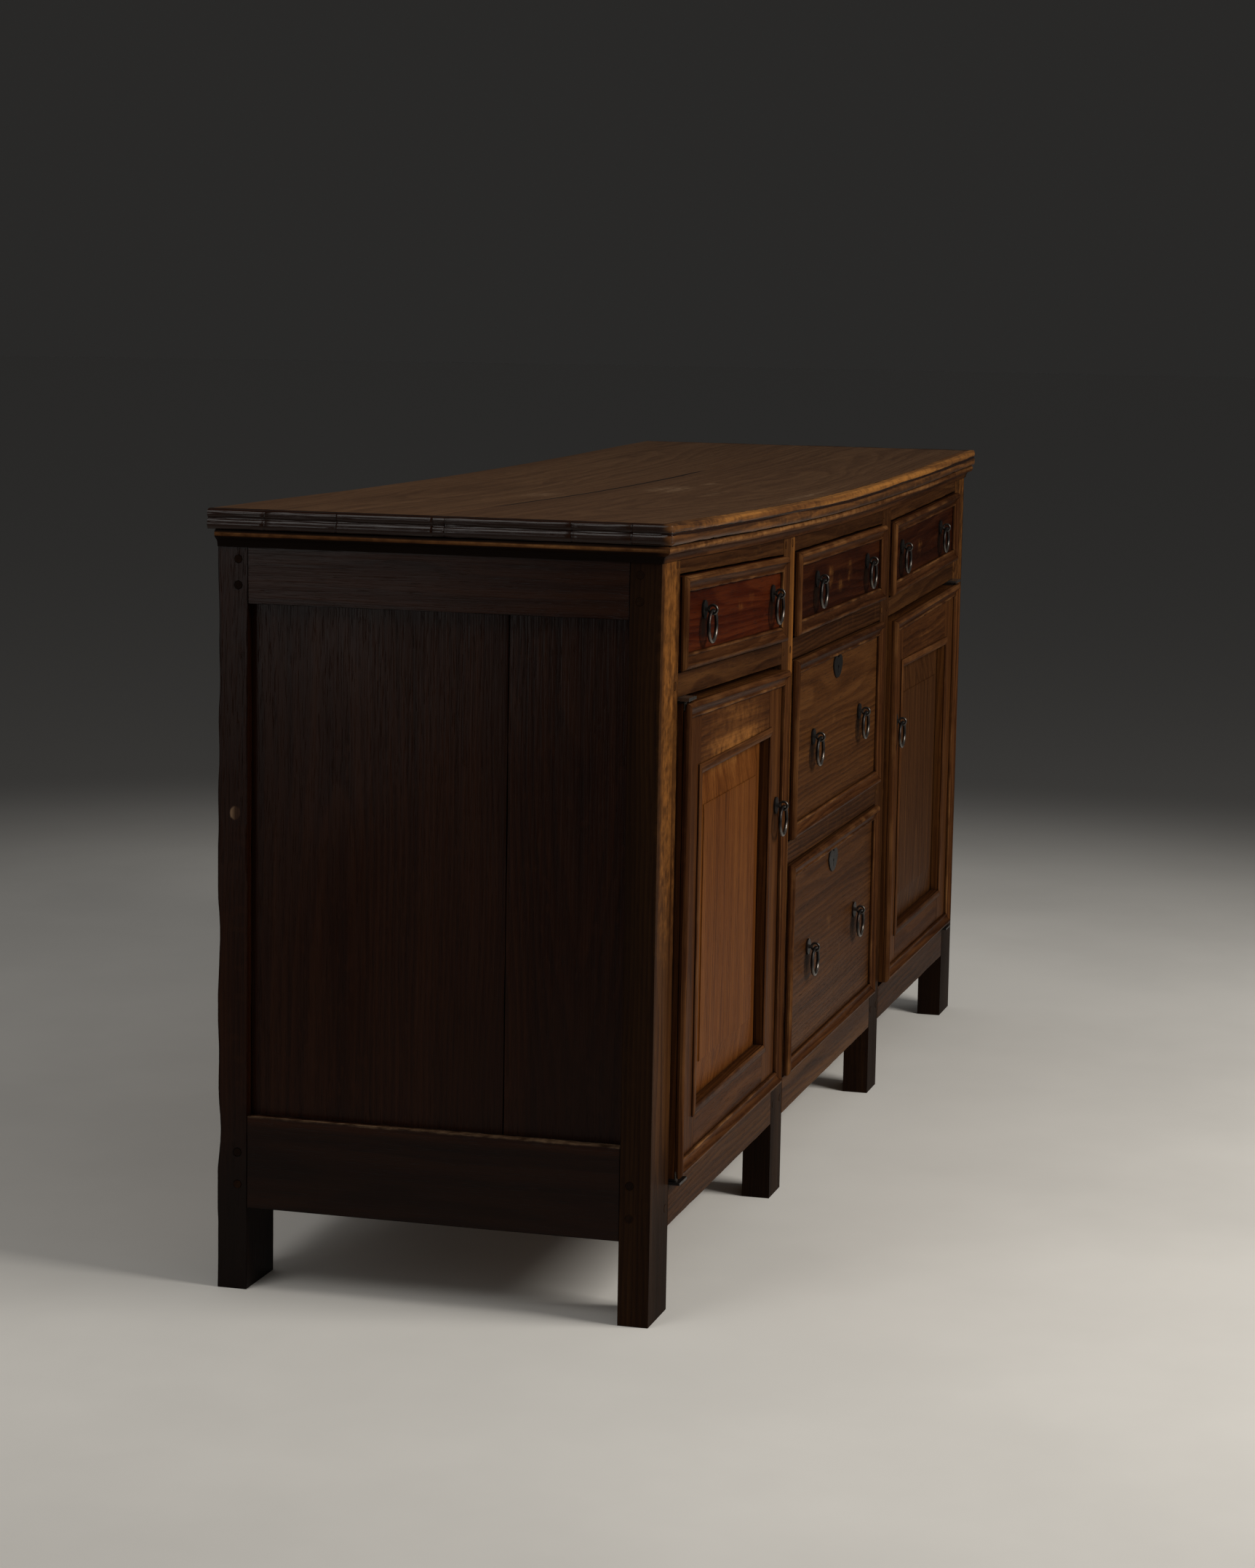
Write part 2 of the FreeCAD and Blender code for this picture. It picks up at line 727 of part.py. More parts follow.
def mitred_length(start, end, start_mitre, end_mitre, profile):
    """A straight length of moulding between two corners, sawn to the mitre at each of them."""
    wide = profile[-1][0]
    run = (end - start).normalize()
    across = start_mitre - run * start_mitre.dot(run)
    spare = run * (2 * wide)
    length = Part.Face(section(start - spare, across, FORWARD, profile)).extrude(end - start + spare * 2)
    outline = [start - start_mitre * wide, end - end_mitre * wide,
               end + end_mitre * (2 * wide), start + start_mitre * (2 * wide)]
    saw = Part.Face(Part.makePolygon(outline + outline[:1]))
    saw.translate(BACKWARD * wide)
    return length.common(saw.extrude(FORWARD * (3 * wide)))


def mitred_frame(corners, profile, inward):
    """Four mitred lengths planted round an outline of the front, given counter-clockwise from its front."""
    mitres = []
    for i, corner in enumerate(corners):
        before = (corner - corners[i - 1]).normalize()
        after = (corners[(i + 1) % len(corners)] - corner).normalize()
        normals = [run.cross(FORWARD) * -inward for run in (before, after)]
        mitres.append((normals[0] + normals[1]) * (1 / (1 + normals[0].dot(normals[1]))))
    return [mitred_length(corners[i - 1], corners[i], mitres[i - 1], mitres[i], profile)
            for i in range(len(corners))]


def front_corners(shape):
    """Corners of the foremost face of a solid, counter-clockwise as seen from the front."""
    box = shape.BoundBox
    points = [vertex.Point for vertex in shape.Vertexes if vertex.Y - box.YMin < FLUSH]
    left = sorted((point for point in points if point.x < box.Center.x), key=lambda point: point.z)
    right = sorted((point for point in points if point.x > box.Center.x), key=lambda point: point.z)
    return [left[0], right[0], right[-1], left[-1]]


# Ring pulls and escutcheons

def staple(x, face, z, back):
    """A split staple: an eye out in front, a shank through the wood and two legs turned over behind."""
    eye_y = f"{face} - eye_standoff"
    start = f"{eye_y} + eye_radius"
    parts = [
        wire_ring(x, eye_y, z, "eye_radius", "eye_wire", RIGHTWARD),
        rod(x, start, z, "shank_radius", f"({back}) + clench_wire - ({start})", BACKWARD),
    ]
    half = "clench_wire / 2"
    parts.append(board(f"{x} - {half}", f"{x} + {half}", back, f"{back} + clench_wire",
                       f"{z} - clench_length", f"{z} + clench_length"))
    return fused(parts)


def staple_hole(x, face, z, back):
    """The hole that a staple's shank passes through."""
    return rod(x, f"{face} - moulding_crest", z, "shank_radius + shank_fit",
               f"({back}) - ({face}) + moulding_crest + clench_wire", BACKWARD)


def rose(x, face, z, hole):
    """A round iron plate under a staple, bored for its shank."""
    return cut(rod(x, face, z, "rose_radius", "rose_thickness", FORWARD), [hole])


def ring(label, x, face, z):
    """An iron ring that hangs in the eye of its staple."""
    hang = f"{z} - ring_drop - ring_radius"
    node(label, [wire_ring(x, f"{face} - eye_standoff", hang, "ring_radius", "ring_wire", BACKWARD)])


# Right edge of a shield from its point to the notch in its head, as shares of half its width and height
SHIELD_EDGE = ((0, -1), (0.7, -0.55), (1, 0.2), (0.86, 0.72), (0.55, 1), (0.2, 0.95), (0, 0.78))


def escutcheon(face, centre):
    """A small shield with a keyhole, planted on a drawer front."""
    middle = size("escutcheon_shift")
    half = size("escutcheon_width") / 2
    tall = size("escutcheon_height") / 2
    right = [Vector(middle + x * half, face, centre + z * tall) for x, z in SHIELD_EDGE]
    left = [Vector(middle - x * half, face, centre + z * tall) for x, z in reversed(SHIELD_EDGE)]
    points = right + left[1:]
    arcs = [Part.Arc(*points[i:i + 3]).toShape() for i in range(0, len(points) - 1, 2)]
    plate = Part.Face(Part.Wire(arcs))
    solid = plate.extrude(FORWARD * size("escutcheon_thickness"))
    return shaped(solid.cut(keyhole(face, centre)))


def keyhole(face, centre):
    """The space of a keyhole, from in front of the plate to a stop inside the wood."""
    radius = size("keyhole_radius")
    start = Vector(size("escutcheon_shift"), face - 2 * size("escutcheon_thickness"), centre)
    depth = size("keyhole_depth")
    hole = Part.makeCylinder(radius, depth, start, BACKWARD)
    slot_corner = start + Vector(-radius / 2, 0, -size("keyhole_length"))
    return hole.fuse(Part.makeBox(radius, depth, size("keyhole_length"), slot_corner))


# Drawers

class Drawer:
    """One drawer: a front with a planted moulding and ring pulls, and a lapped box behind it."""

    def __init__(self, label, bay, low, high, pulls, pull_rise, has_lock):
        self.label = label
        self.bay = bay
        self.low = low
        self.high = high
        self.spacing = f"{pulls}_pull_spacing"
        self.shift = f"{pulls}_pull_shift"
        self.pull_rise = pull_rise
        self.has_lock = has_lock
        self.x0 = f"{bay.left} + drawer_gap"
        self.x1 = f"{bay.right} - drawer_gap"

    def box(self):
        """Two sides, back and bottom; the bottom is let into grooves in the sides and the front."""
        slab = self.bay.slab
        lap = "drawer_front_back - drawer_side_lap"
        low = f"{self.low} + slide_gap"
        high = f"{self.high} - drawer_gap - drawer_side_drop"
        inner0 = f"{self.x0} + drawer_side_thickness"
        inner1 = f"{self.x1} - drawer_side_thickness"
        floor = f"{low} + drawer_bottom_height"
        floor_top = f"{floor} + drawer_bottom_thickness"
        groove = "drawer_bottom_groove"
        back_front = "drawer_rear - drawer_side_thickness"
        bottom = slab(f"{inner0} - {groove}", f"{inner1} + {groove}", f"drawer_front_back - {groove}",
                      "drawer_rear", floor, floor_top)
        left = cut(slab(self.x0, inner0, lap, "drawer_rear", low, high), [bottom])
        right = cut(slab(inner1, self.x1, lap, "drawer_rear", low, high), [bottom])
        back = slab(inner0, inner1, back_front, "drawer_rear", floor_top, high)
        node(f"{self.label}_box", [left, right, back, bottom])
        return [left, right, bottom]

    def pulls(self):
        """Places of the two ring pulls."""
        middle = f"(({self.x0}) + ({self.x1})) / 2 + {self.shift}"
        centre = f"(({self.low}) + ({self.high})) / 2 + {self.pull_rise}"
        places = []
        for side, sign in (("left", "-"), ("right", "+")):
            x = f"{middle} {sign} {self.spacing} / 2"
            places.append((side, x, self.bay.level(centre, x)))
        return places

    def build(self):
        """Make every piece of the drawer."""
        box = self.box()
        low = f"{self.low} + drawer_gap"
        high = f"{self.high} - drawer_gap"
        blank = self.bay.slab(self.x0, self.x1, "drawer_face", "drawer_front_back", low, high)
        places = self.pulls()
        holes = [staple_hole(x, "drawer_face", z, "drawer_front_back") for _, x, z in places]
        ironwork = [staple(x, "drawer_face", z, "drawer_front_back") for _, x, z in places]
        ironwork += [rose(x, "drawer_face", z, hole) for (_, x, z), hole in zip(places, holes)]
        doc.recompute()
        if self.has_lock:
            centre = blank.Shape.BoundBox.ZMax - size("escutcheon_drop")
            ironwork.append(escutcheon(size("drawer_face"), centre))
            holes.append(shaped(keyhole(size("drawer_face"), centre)))
        node(f"{self.label}_front", [cut(blank, box + holes)])
        lengths = mitred_frame(front_corners(blank.Shape), edge_profile(), 1)
        node(f"{self.label}_moulding", [shaped(length) for length in lengths])
        node(f"{self.label}_ironwork", ironwork)
        for side, x, z in places:
            ring(f"{self.label}_{side}_ring", x, "drawer_face", z)


DRAWERS = (
    Drawer("left_drawer", LEFT_BAY, "frieze_bottom", "frieze_top", "left", "frieze_pull_rise", False),
    Drawer("centre_drawer", CENTRE_BAY, "frieze_bottom", "frieze_top", "centre", "frieze_pull_rise", False),
    Drawer("right_drawer", RIGHT_BAY, "frieze_bottom", "frieze_top", "right", "frieze_pull_rise", False),
    Drawer("upper_deep_drawer", FLAT_CENTRE, "centre_rail_top", "door_head - settle", "deep",
           "upper_pull_rise", True),
    Drawer("lower_deep_drawer", FLAT_CENTRE, "floor_top", "centre_rail_bottom", "deep",
           "lower_pull_rise", True),
)


# Doors

class Door:
    """One panelled door on pin pivots at its outer edge, with a ring pull by its inner edge."""

    def __init__(self, label, side, bay):
        self.label = label
        self.side = side
        self.bay = bay

    def span(self, near, far):
        """Two expressions for a span that is given from the middle of the dresser outward."""
        return sided(self.side, near, far)

    def upright(self, near, far, low, high):
        """A piece of the door that follows the slope of its head."""
        x0, x1 = self.span(near, far)
        return sloping_board(x0, x1, "door_face", "door_back",
                             (low, self.bay.level(high, x0)), (low, self.bay.level(high, x1)))

    def pins(self, radius):
        """Rods on the door's axis, one into its head and one into its foot."""
        x = f"{self.side} * pivot_x"
        head = f"{self.bay.level('door_head', x)}"
        return [rod(x, "pivot_y", head, radius, "pivot_depth", DOWNWARD),
                rod(x, "pivot_y", "floor_top", radius, "pivot_depth", UPWARD)]

    def pivot_level(self):
        """The level underside of the plate on the carcase at the head, below the lowest of the slope."""
        inner = f"{self.side} * (outer_edge - pivot_plate_length)"
        return f"{self.bay.level('door_head', inner)} - pivot_plate_thickness"

    def fixed_pivots(self):
        """Plates on the carcase that carry the door's two pins."""
        x0, x1 = self.span("outer_edge - pivot_plate_length", "outer_edge")
        under = self.pivot_level()
        head = sloping_board(x0, x1, "pivot_front", "door_back", (under, self.bay.level("door_head", x0)),
                             (under, self.bay.level("door_head", x1)))
        foot = board(x0, x1, "pivot_front", "door_back", "floor_top", "floor_top + pivot_plate_thickness")
        pins = self.pins("pivot_radius")
        return [fused([head, pins[0]]), fused([foot, pins[1]])]

    def moving_pivots(self):
        """Plates on the door's head and foot, bored for the pins."""
        x0, x1 = self.span("door_far - pivot_plate_length", "door_far")
        bores = self.pins("pivot_radius + pivot_fit")
        over = f"{self.pivot_level()} - pivot_plate_gap"
        head = sloping_board(x0, x1, "door_face", "door_back", (self.bay.level("door_high", x0), over),
                             (self.bay.level("door_high", x1), over))
        foot = board(x0, x1, "door_face", "door_back", "floor_top + pivot_plate_thickness + pivot_plate_gap",
                     "door_low")
        return [cut(head, bores[:1]), cut(foot, bores[1:])]

    def pin_notches(self):
        """Room for the pins at the back of the moulding round the door, at its head and its foot."""
        x = f"{self.side} * pivot_x"
        x0, x1 = self.span("pivot_x - pivot_radius - pivot_room", "outer_edge")
        front = "pivot_y - pivot_radius - pivot_room"
        head = self.bay.level("door_head", x)
        depth = "pivot_depth + pivot_room"
        return [board(x0, x1, front, "door_back", f"{head} - ({depth})", "door_head"),
                board(x0, x1, front, "door_back", "floor_top", f"floor_top + {depth}")]

    def build(self):
        """Make every piece of the door."""
        bores = self.pins("pivot_radius + pivot_room")
        wide = "door_stile_width"
        stile_near = self.upright("door_near", f"door_near + {wide}", "door_low", "door_high")
        stile_far = self.upright(f"door_far - {wide}", "door_far", "door_low", "door_high")
        near = f"door_near + {wide}"
        far = f"door_far - {wide}"
        panel = self.panel(near, far)
        head_rail, foot_rail, tenons = self.rails(near, far, panel)
        pull = (f"{self.side} * (door_near + door_pull_inset)", "door_face", f"{self.label}_pull_height")
        hole = staple_hole(*pull, "door_back")
        frame = [cut(stile_near, tenons[0] + [panel, hole]), cut(stile_far, tenons[1] + [panel] + bores),
                 head_rail, foot_rail]
        node(f"{self.label}_frame", frame)
        node(f"{self.label}_panel", [panel])
        doc.recompute()
        self.mouldings(near, far)
        iron = self.moving_pivots() + [staple(*pull, "door_back"), rose(*pull, hole)]
        node(f"{self.label}_ironwork", iron)
        ring(f"{self.label}_ring", *pull)

    def panel(self, near, far):
        """Raised and fielded panel whose thin edges run in the grooves of the frame."""
        groove = "panel_groove"
        x0, x1 = self.span(f"{near} - {groove}", f"{far} + {groove}")
        low = f"door_panel_low - {groove}"
        high = f"door_panel_high + {groove}"
        plate = board(x0, x1, "door_panel_front", "door_panel_back", low, high)
        i0, i1 = self.span(near, far)
        edge = "door_panel_bevel"
        crest = "door_panel_front - door_panel_rise"
        step = f"{crest} + door_field_step"
        bevel = raised_block(i0, i1, "door_panel_low", "door_panel_high", "door_panel_front", step, edge)
        field = board(f"{i0} + {edge}", f"{i1} - {edge}", crest, step,
                      f"door_panel_low + {edge}", f"door_panel_high - {edge}")
        return fused([plate, bevel, field])

    def rails(self, near, far, panel):
        """Head and foot rails with tenons into both stiles."""
        head = self.upright(near, far, "door_panel_high", "door_high")
        x0, x1 = self.span(near, far)
        foot = board(x0, x1, "door_face", "door_back", "door_low", "door_panel_low")
        y0 = "door_back - tenon_shoulder - tenon_thickness"
        y1 = "door_back - tenon_shoulder"
        heights = (("door_panel_high + tenon_length", "door_high - settle - tenon_shoulder"),
                   ("door_low + tenon_shoulder", "door_panel_low - tenon_length"))
        ends = ((f"{near} - tenon_length", near), (far, f"{far} + tenon_length"))
        tenons = [[board(*self.span(*end), y0, y1, *height) for height in heights] for end in ends]
        rails = [cut(fused([rail, tenons[0][i], tenons[1][i]]), [panel]) for i, rail in enumerate((head, foot))]
        return rails[0], rails[1], tenons

    def mouldings(self, near, far):
        """Mitred moulding round the door's edge, notched for the pins, and one round its panel."""
        leaf = self.upright("door_near", "door_far", "door_low", "door_high")
        opening = board(*self.span(near, far), "door_face", "door_back", "door_panel_low", "door_panel_high")
        notches = self.pin_notches()
        doc.recompute()
        lengths = [shaped(length) for length in mitred_frame(front_corners(leaf.Shape), edge_profile(), 1)]
        lengths = [cut(length, [notch for notch in notches
                                if length.Shape.BoundBox.intersect(notch.Shape.BoundBox)]) for length in lengths]
        inner = mitred_frame(front_corners(opening.Shape), panel_profile(), -1)
        node(f"{self.label}_moulding", lengths + [shaped(length) for length in inner])


DOORS = (Door("left_door", -1, LEFT_BAY), Door("right_door", 1, RIGHT_BAY))


# The whole piece

def check_document():
    """Stop if any object failed or any piece has no sound shape."""
    doc.recompute()
    for thing in doc.Objects:
        if "Invalid" in thing.State or "Error" in thing.State:
            raise RuntimeError(f"{thing.Name} ({thing.Label}) failed to build")
    for label, piece in nodes.items():
        solids = piece.Shape.Solids
        if not solids or not piece.Shape.isValid() or min(solid.Volume for solid in solids) <= 0:
            raise RuntimeError(f"{label} has no sound shape")


def write_parts():
    """Write one file for each named piece."""
    os.makedirs("parts", exist_ok=True)
    for label, piece in nodes.items():
        piece.Shape.exportStep(os.path.join("parts", f"{label}.step"))


def main():
    """Build the dresser base from its ends to its pulls and write its parts."""
    fill_sheet()
    ends = EndFrames()
    end_tools = ends.build()
    doc.recompute()
    front = FrontFrame()
    front.build(end_tools)
    build_back(end_tools, build_top())
    node("joint_pegs", front.pegs + ends.pegs)
    build_inside()
    build_top_mouldings()
    for drawer in DRAWERS:
        drawer.build()
    for door in DOORS:
        door.build()
    node("door_pivots", [plate for door in DOORS for plate in door.fixed_pivots()])
    check_document()
    write_parts()
    print(f"{len(nodes)} pieces written")


main()
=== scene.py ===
"""Looks of a joined oak dresser base: worn oak, iron ring pulls and the studio round them.

Lengths are metres. X runs along the front, the front faces -Y and +Z is up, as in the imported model.
"""
from __future__ import annotations

import json
import logging
import math
import random
from collections.abc import Callable, Collection, Mapping, Sequence
from dataclasses import dataclass, field
from enum import Enum
from functools import lru_cache
from typing import Protocol

import bmesh
import bpy
from bmesh.types import BMEdge, BMesh, BMFace, BMLayerItem, BMVert
from bpy.types import Material, Object
from mathutils import Matrix, Vector, noise

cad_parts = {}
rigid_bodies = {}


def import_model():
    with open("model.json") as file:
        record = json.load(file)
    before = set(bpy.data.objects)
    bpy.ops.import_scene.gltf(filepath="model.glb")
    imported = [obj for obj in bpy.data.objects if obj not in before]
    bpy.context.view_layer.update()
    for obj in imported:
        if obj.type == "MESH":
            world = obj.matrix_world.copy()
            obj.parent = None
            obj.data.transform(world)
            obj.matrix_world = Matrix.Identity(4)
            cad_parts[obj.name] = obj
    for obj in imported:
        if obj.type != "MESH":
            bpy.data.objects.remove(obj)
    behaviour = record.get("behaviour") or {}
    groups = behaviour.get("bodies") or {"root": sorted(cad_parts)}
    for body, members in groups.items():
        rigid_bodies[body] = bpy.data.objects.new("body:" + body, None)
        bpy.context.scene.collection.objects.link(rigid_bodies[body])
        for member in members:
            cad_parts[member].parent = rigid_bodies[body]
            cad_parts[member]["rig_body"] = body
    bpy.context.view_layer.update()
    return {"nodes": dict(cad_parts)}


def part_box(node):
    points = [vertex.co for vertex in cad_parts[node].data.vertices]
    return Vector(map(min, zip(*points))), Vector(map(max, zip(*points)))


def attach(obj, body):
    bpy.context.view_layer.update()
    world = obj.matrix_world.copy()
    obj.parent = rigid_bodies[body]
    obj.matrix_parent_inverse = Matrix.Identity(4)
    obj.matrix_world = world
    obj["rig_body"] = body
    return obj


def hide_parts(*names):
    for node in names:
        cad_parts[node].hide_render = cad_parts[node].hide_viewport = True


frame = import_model()
LOG = logging.getLogger("dresser_base")

Colour = tuple[float, float, float, float]
Field = Callable[[Vector], float]
Shift = Callable[[Vector], Vector]
Cut = tuple[Vector, Vector]
Triple = tuple[float, float, float]
Pieces = list[Object]


class Slot(Enum):
    """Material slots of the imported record."""

    TOP = "top_oak"
    FRAME = "frame_oak"
    END = "end_oak"
    DRAWER = "drawer_oak"
    DOOR = "door_oak"
    MOULDING = "moulding_oak"
    INNER = "inner_oak"
    IRON = "iron"


class Mark(Enum):
    """What each point of a piece remembers for its finish."""

    GRAIN = "grain"
    BOARD = "board"
    ARRIS = "arris"
    RUB_AND_LIGHT = "rub"
    SOIL_AND_SHADE = "soil"
    TINT = "tint"


def ramp_up(value: float, low: float, high: float) -> float:
    """Rise smoothly from 0 at low to 1 at high; low may be the larger."""
    share = min(max((value - low) / (high - low), 0.0), 1.0)
    return share * share * (3.0 - 2.0 * share)


def nowhere(_: Vector) -> float:
    """Mark no place."""
    return 0.0


def standing_still(_: Vector) -> Vector:
    """Move no place."""
    return Vector()


def axis_direction(axis: int) -> Vector:
    """Give the direction of an axis by its number."""
    return Vector(float(axis == other) for other in range(3))


def cuts_across(axis: int, places: Sequence[float]) -> list[Cut]:
    """Plan cuts square to an axis at some places along it."""
    return [(axis_direction(axis) * place, axis_direction(axis)) for place in places]


# Shader building


class Signal:
    """A value that a shader node gives; arithmetic on it adds Math nodes."""

    def __init__(self, nodes: Nodes, socket: bpy.types.NodeSocket) -> None:
        """Keep the nodes that the socket belongs to."""
        self.nodes = nodes
        self.socket = socket

    def _math(self, operation: str, first: Signal | float, second: Signal | float) -> Signal:
        """Add one Math node."""
        return self.nodes.node("ShaderNodeMath", {"operation": operation}, {0: first, 1: second})

    def __add__(self, other: Signal | float) -> Signal:
        """Give the sum."""
        return self._math("ADD", self, other)

    def __radd__(self, other: float) -> Signal:
        """Give the sum."""
        return self._math("ADD", other, self)

    def __sub__(self, other: Signal | float) -> Signal:
        """Give the difference."""
        return self._math("SUBTRACT", self, other)

    def __rsub__(self, other: float) -> Signal:
        """Give the difference from a number."""
        return self._math("SUBTRACT", other, self)

    def __mul__(self, other: Signal | float) -> Signal:
        """Give the product."""
        return self._math("MULTIPLY", self, other)

    def __rmul__(self, other: float) -> Signal:
        """Give the product."""
        return self._math("MULTIPLY", other, self)

    def fraction(self) -> Signal:
        """Give what is left after the whole number."""
        return self._math("FRACT", self, 0.0)

    def centred(self) -> Signal:
        """Give a signal that runs round 0.5 as one round 0."""
        return self - 0.5

    def at_least(self, limit: Signal | float) -> Signal:
        """Give the larger of the two."""
        return self._math("MAXIMUM", self, limit)

    def smooth(self, low: float, high: float) -> Signal:
        """Rise smoothly from 0 at low to 1 at high; low may be the larger."""
        inputs = {"Value": self, "From Min": low, "From Max": high}
        return self.nodes.node("ShaderNodeMapRange", {"interpolation_type": "SMOOTHSTEP"}, inputs)


class Nodes:
    """The nodes of one material or of the world."""

    def __init__(self, owner: Material | bpy.types.World) -> None:
        """Start with no nodes.

        Args:
            owner: The material or world that they belong to.
        """
        self.owner = owner
        owner.use_nodes = True
        self.tree = owner.node_tree
        self.tree.nodes.clear()

    def node(self, kind: str, settings: Mapping[str, object] | None = None,
             inputs: Mapping[str | int, object] | None = None, output: str | int = 0) -> Signal:
        """Add one node.

        Args:
            kind: The node's type.
            settings: Its properties, or the stops of a ramp, set before the sockets.
            inputs: Values or signals for its sockets.
            output: The output that is given back.

        Returns:
            The signal of that output, or of the first input where the node has no output.
        """
        made = self.tree.nodes.new(kind)
        for name, value in (settings or {}).items():
            if name == "stops":
                self._set_stops(made.color_ramp, value)
            else:
                setattr(made, name, value)
        for name, value in (inputs or {}).items():
            if isinstance(value, Signal):
                self.tree.links.new(value.socket, made.inputs[name])
            else:
                made.inputs[name].default_value = value
        return Signal(self, made.outputs[output] if made.outputs else made.inputs[0])

    @staticmethod
    def _set_stops(ramp: bpy.types.ColorRamp, stops: Sequence[tuple[float, Colour]]) -> None:
        """Give a ramp its stops.

        Args:
            ramp: The ramp.
            stops: Places and colours, from the lowest place up.
        """
        while len(ramp.elements) < len(stops):
            ramp.elements.new(1.0)
        for element, (position, colour) in zip(ramp.elements, stops):
            element.position = position
            element.color = colour

    def mark(self, mark: Mark) -> Signal:
        """Read a mark of the surface as a number."""
        return self.node("ShaderNodeAttribute", {"attribute_name": mark.value}, output="Fac")

    def grain(self) -> Signal:
        """Read the place along, across and through the board."""
        return self.node("ShaderNodeAttribute", {"attribute_name": Mark.GRAIN.value}, output="Vector")

    def length(self, vector: Signal) -> Signal:
        """Give the length of a vector."""
        return self.node("ShaderNodeVectorMath", {"operation": "LENGTH"}, {0: vector}, "Value")

    def noise(self, place: Signal, amount: float | Triple, detail: float, roughness: float = 0.5) -> Signal:
        """Read a soft random pattern.

        Args:
            place: Where it is read.
            amount: Patches per metre of the place, or those along each axis.
            detail: Octaves of finer pattern.
            roughness: Strength of the finer pattern.

        Returns:
            A signal round 0.5.
        """
        if isinstance(amount, tuple):
            place = self.node("ShaderNodeVectorMath", {"operation": "MULTIPLY"}, {0: place, 1: amount})
            amount = 1.0
        inputs = {"Vector": place, "Scale": amount, "Detail": detail, "Roughness": roughness}
        return self.node("ShaderNodeTexNoise", {"noise_dimensions": "3D"}, inputs)

    def mix(self, share: Signal | float, first: Signal | Colour, second: Signal | Colour) -> Signal:
        """Blend two colours by a share of the second."""
        inputs = {0: share, 6: first, 7: second}
        return self.node("ShaderNodeMix", {"data_type": "RGBA"}, inputs, 2)

    def crevice_shade(self, reach: float) -> Signal:
        """Read the ambient shade: 1 in the corners between pieces, 0 in the open."""
        open_sky = self.node("ShaderNodeAmbientOcclusion", {"samples": 4}, {"Distance": reach}, "AO")
        return 1.0 - open_sky

    def bump(self, height: Signal, depth: float, strength: float) -> Signal:
        """Turn a height into a surface normal."""
        inputs = {"Height": height, "Distance": depth, "Strength": strength}
        return self.node("ShaderNodeBump", inputs=inputs)

    def surface(self, inputs: Mapping[str, object]) -> Material:
        """Join the signals to the surface.

        Args:
            inputs: Values or signals for the surface's sockets.

        Returns:
            The finished material.
        """
        shader = self.node("ShaderNodeBsdfPrincipled", inputs=inputs)
        self.node("ShaderNodeOutputMaterial", inputs={"Surface": shader})
        return self.owner


# Finishes


class OakGrain:
    """The patterns of a board of oak, as signals of one material."""

    HEART = (0.0, 0.02, 0.11)
    RINGS_PER_METRE = 190.0
    RING_SWAY = 9.0

    def __init__(self, nodes: Nodes) -> None:
        """Read the patterns, by their patches per metre along, across and through the grain.

        Args:
            nodes: The material's nodes.
        """
        self.nodes = nodes
        place = nodes.grain()
        self.drift = nodes.noise(place, (1.1, 7.0, 7.0), 3.0)
        self.streaks = nodes.noise(place, (1.3, 62.0, 62.0), 4.0, 0.6)
        self.fibres = nodes.noise(place, (13.0, 430.0, 430.0), 2.0)
        self.pores = nodes.noise(place, (36.0, 1200.0, 1200.0), 1.0).smooth(0.6, 0.72)
        self.flecks = nodes.noise(place, (60.0, 170.0, 25.0), 1.0).smooth(0.58, 0.7)
        self.knocks = nodes.noise(place, 85.0, 4.0, 0.6)
        self.lengths = nodes.noise(place, 16.0, 5.0, 0.55)
        self.dents = nodes.noise(place, 34.0, 3.0)
        self.rings = self._rings(place)

    def _rings(self, place: Signal) -> Signal:
        """Draw growth rings about a heart that lies behind the face of the board.

        Args:
            place: Place in the board.

        Returns:
            A signal from 0 to 1 across each ring.
        """
        from_heart = self.nodes.node("ShaderNodeVectorMath", {"operation": "MULTIPLY_ADD"},
                                     {0: place, 1: (0.0, 1.0, 1.0), 2: self.HEART})
        rings = self.nodes.length(from_heart) * self.RINGS_PER_METRE + self.drift * self.RING_SWAY
        ring = rings.fraction()
        return ring.smooth(0.0, 0.8) * ring.smooth(1.0, 0.85)


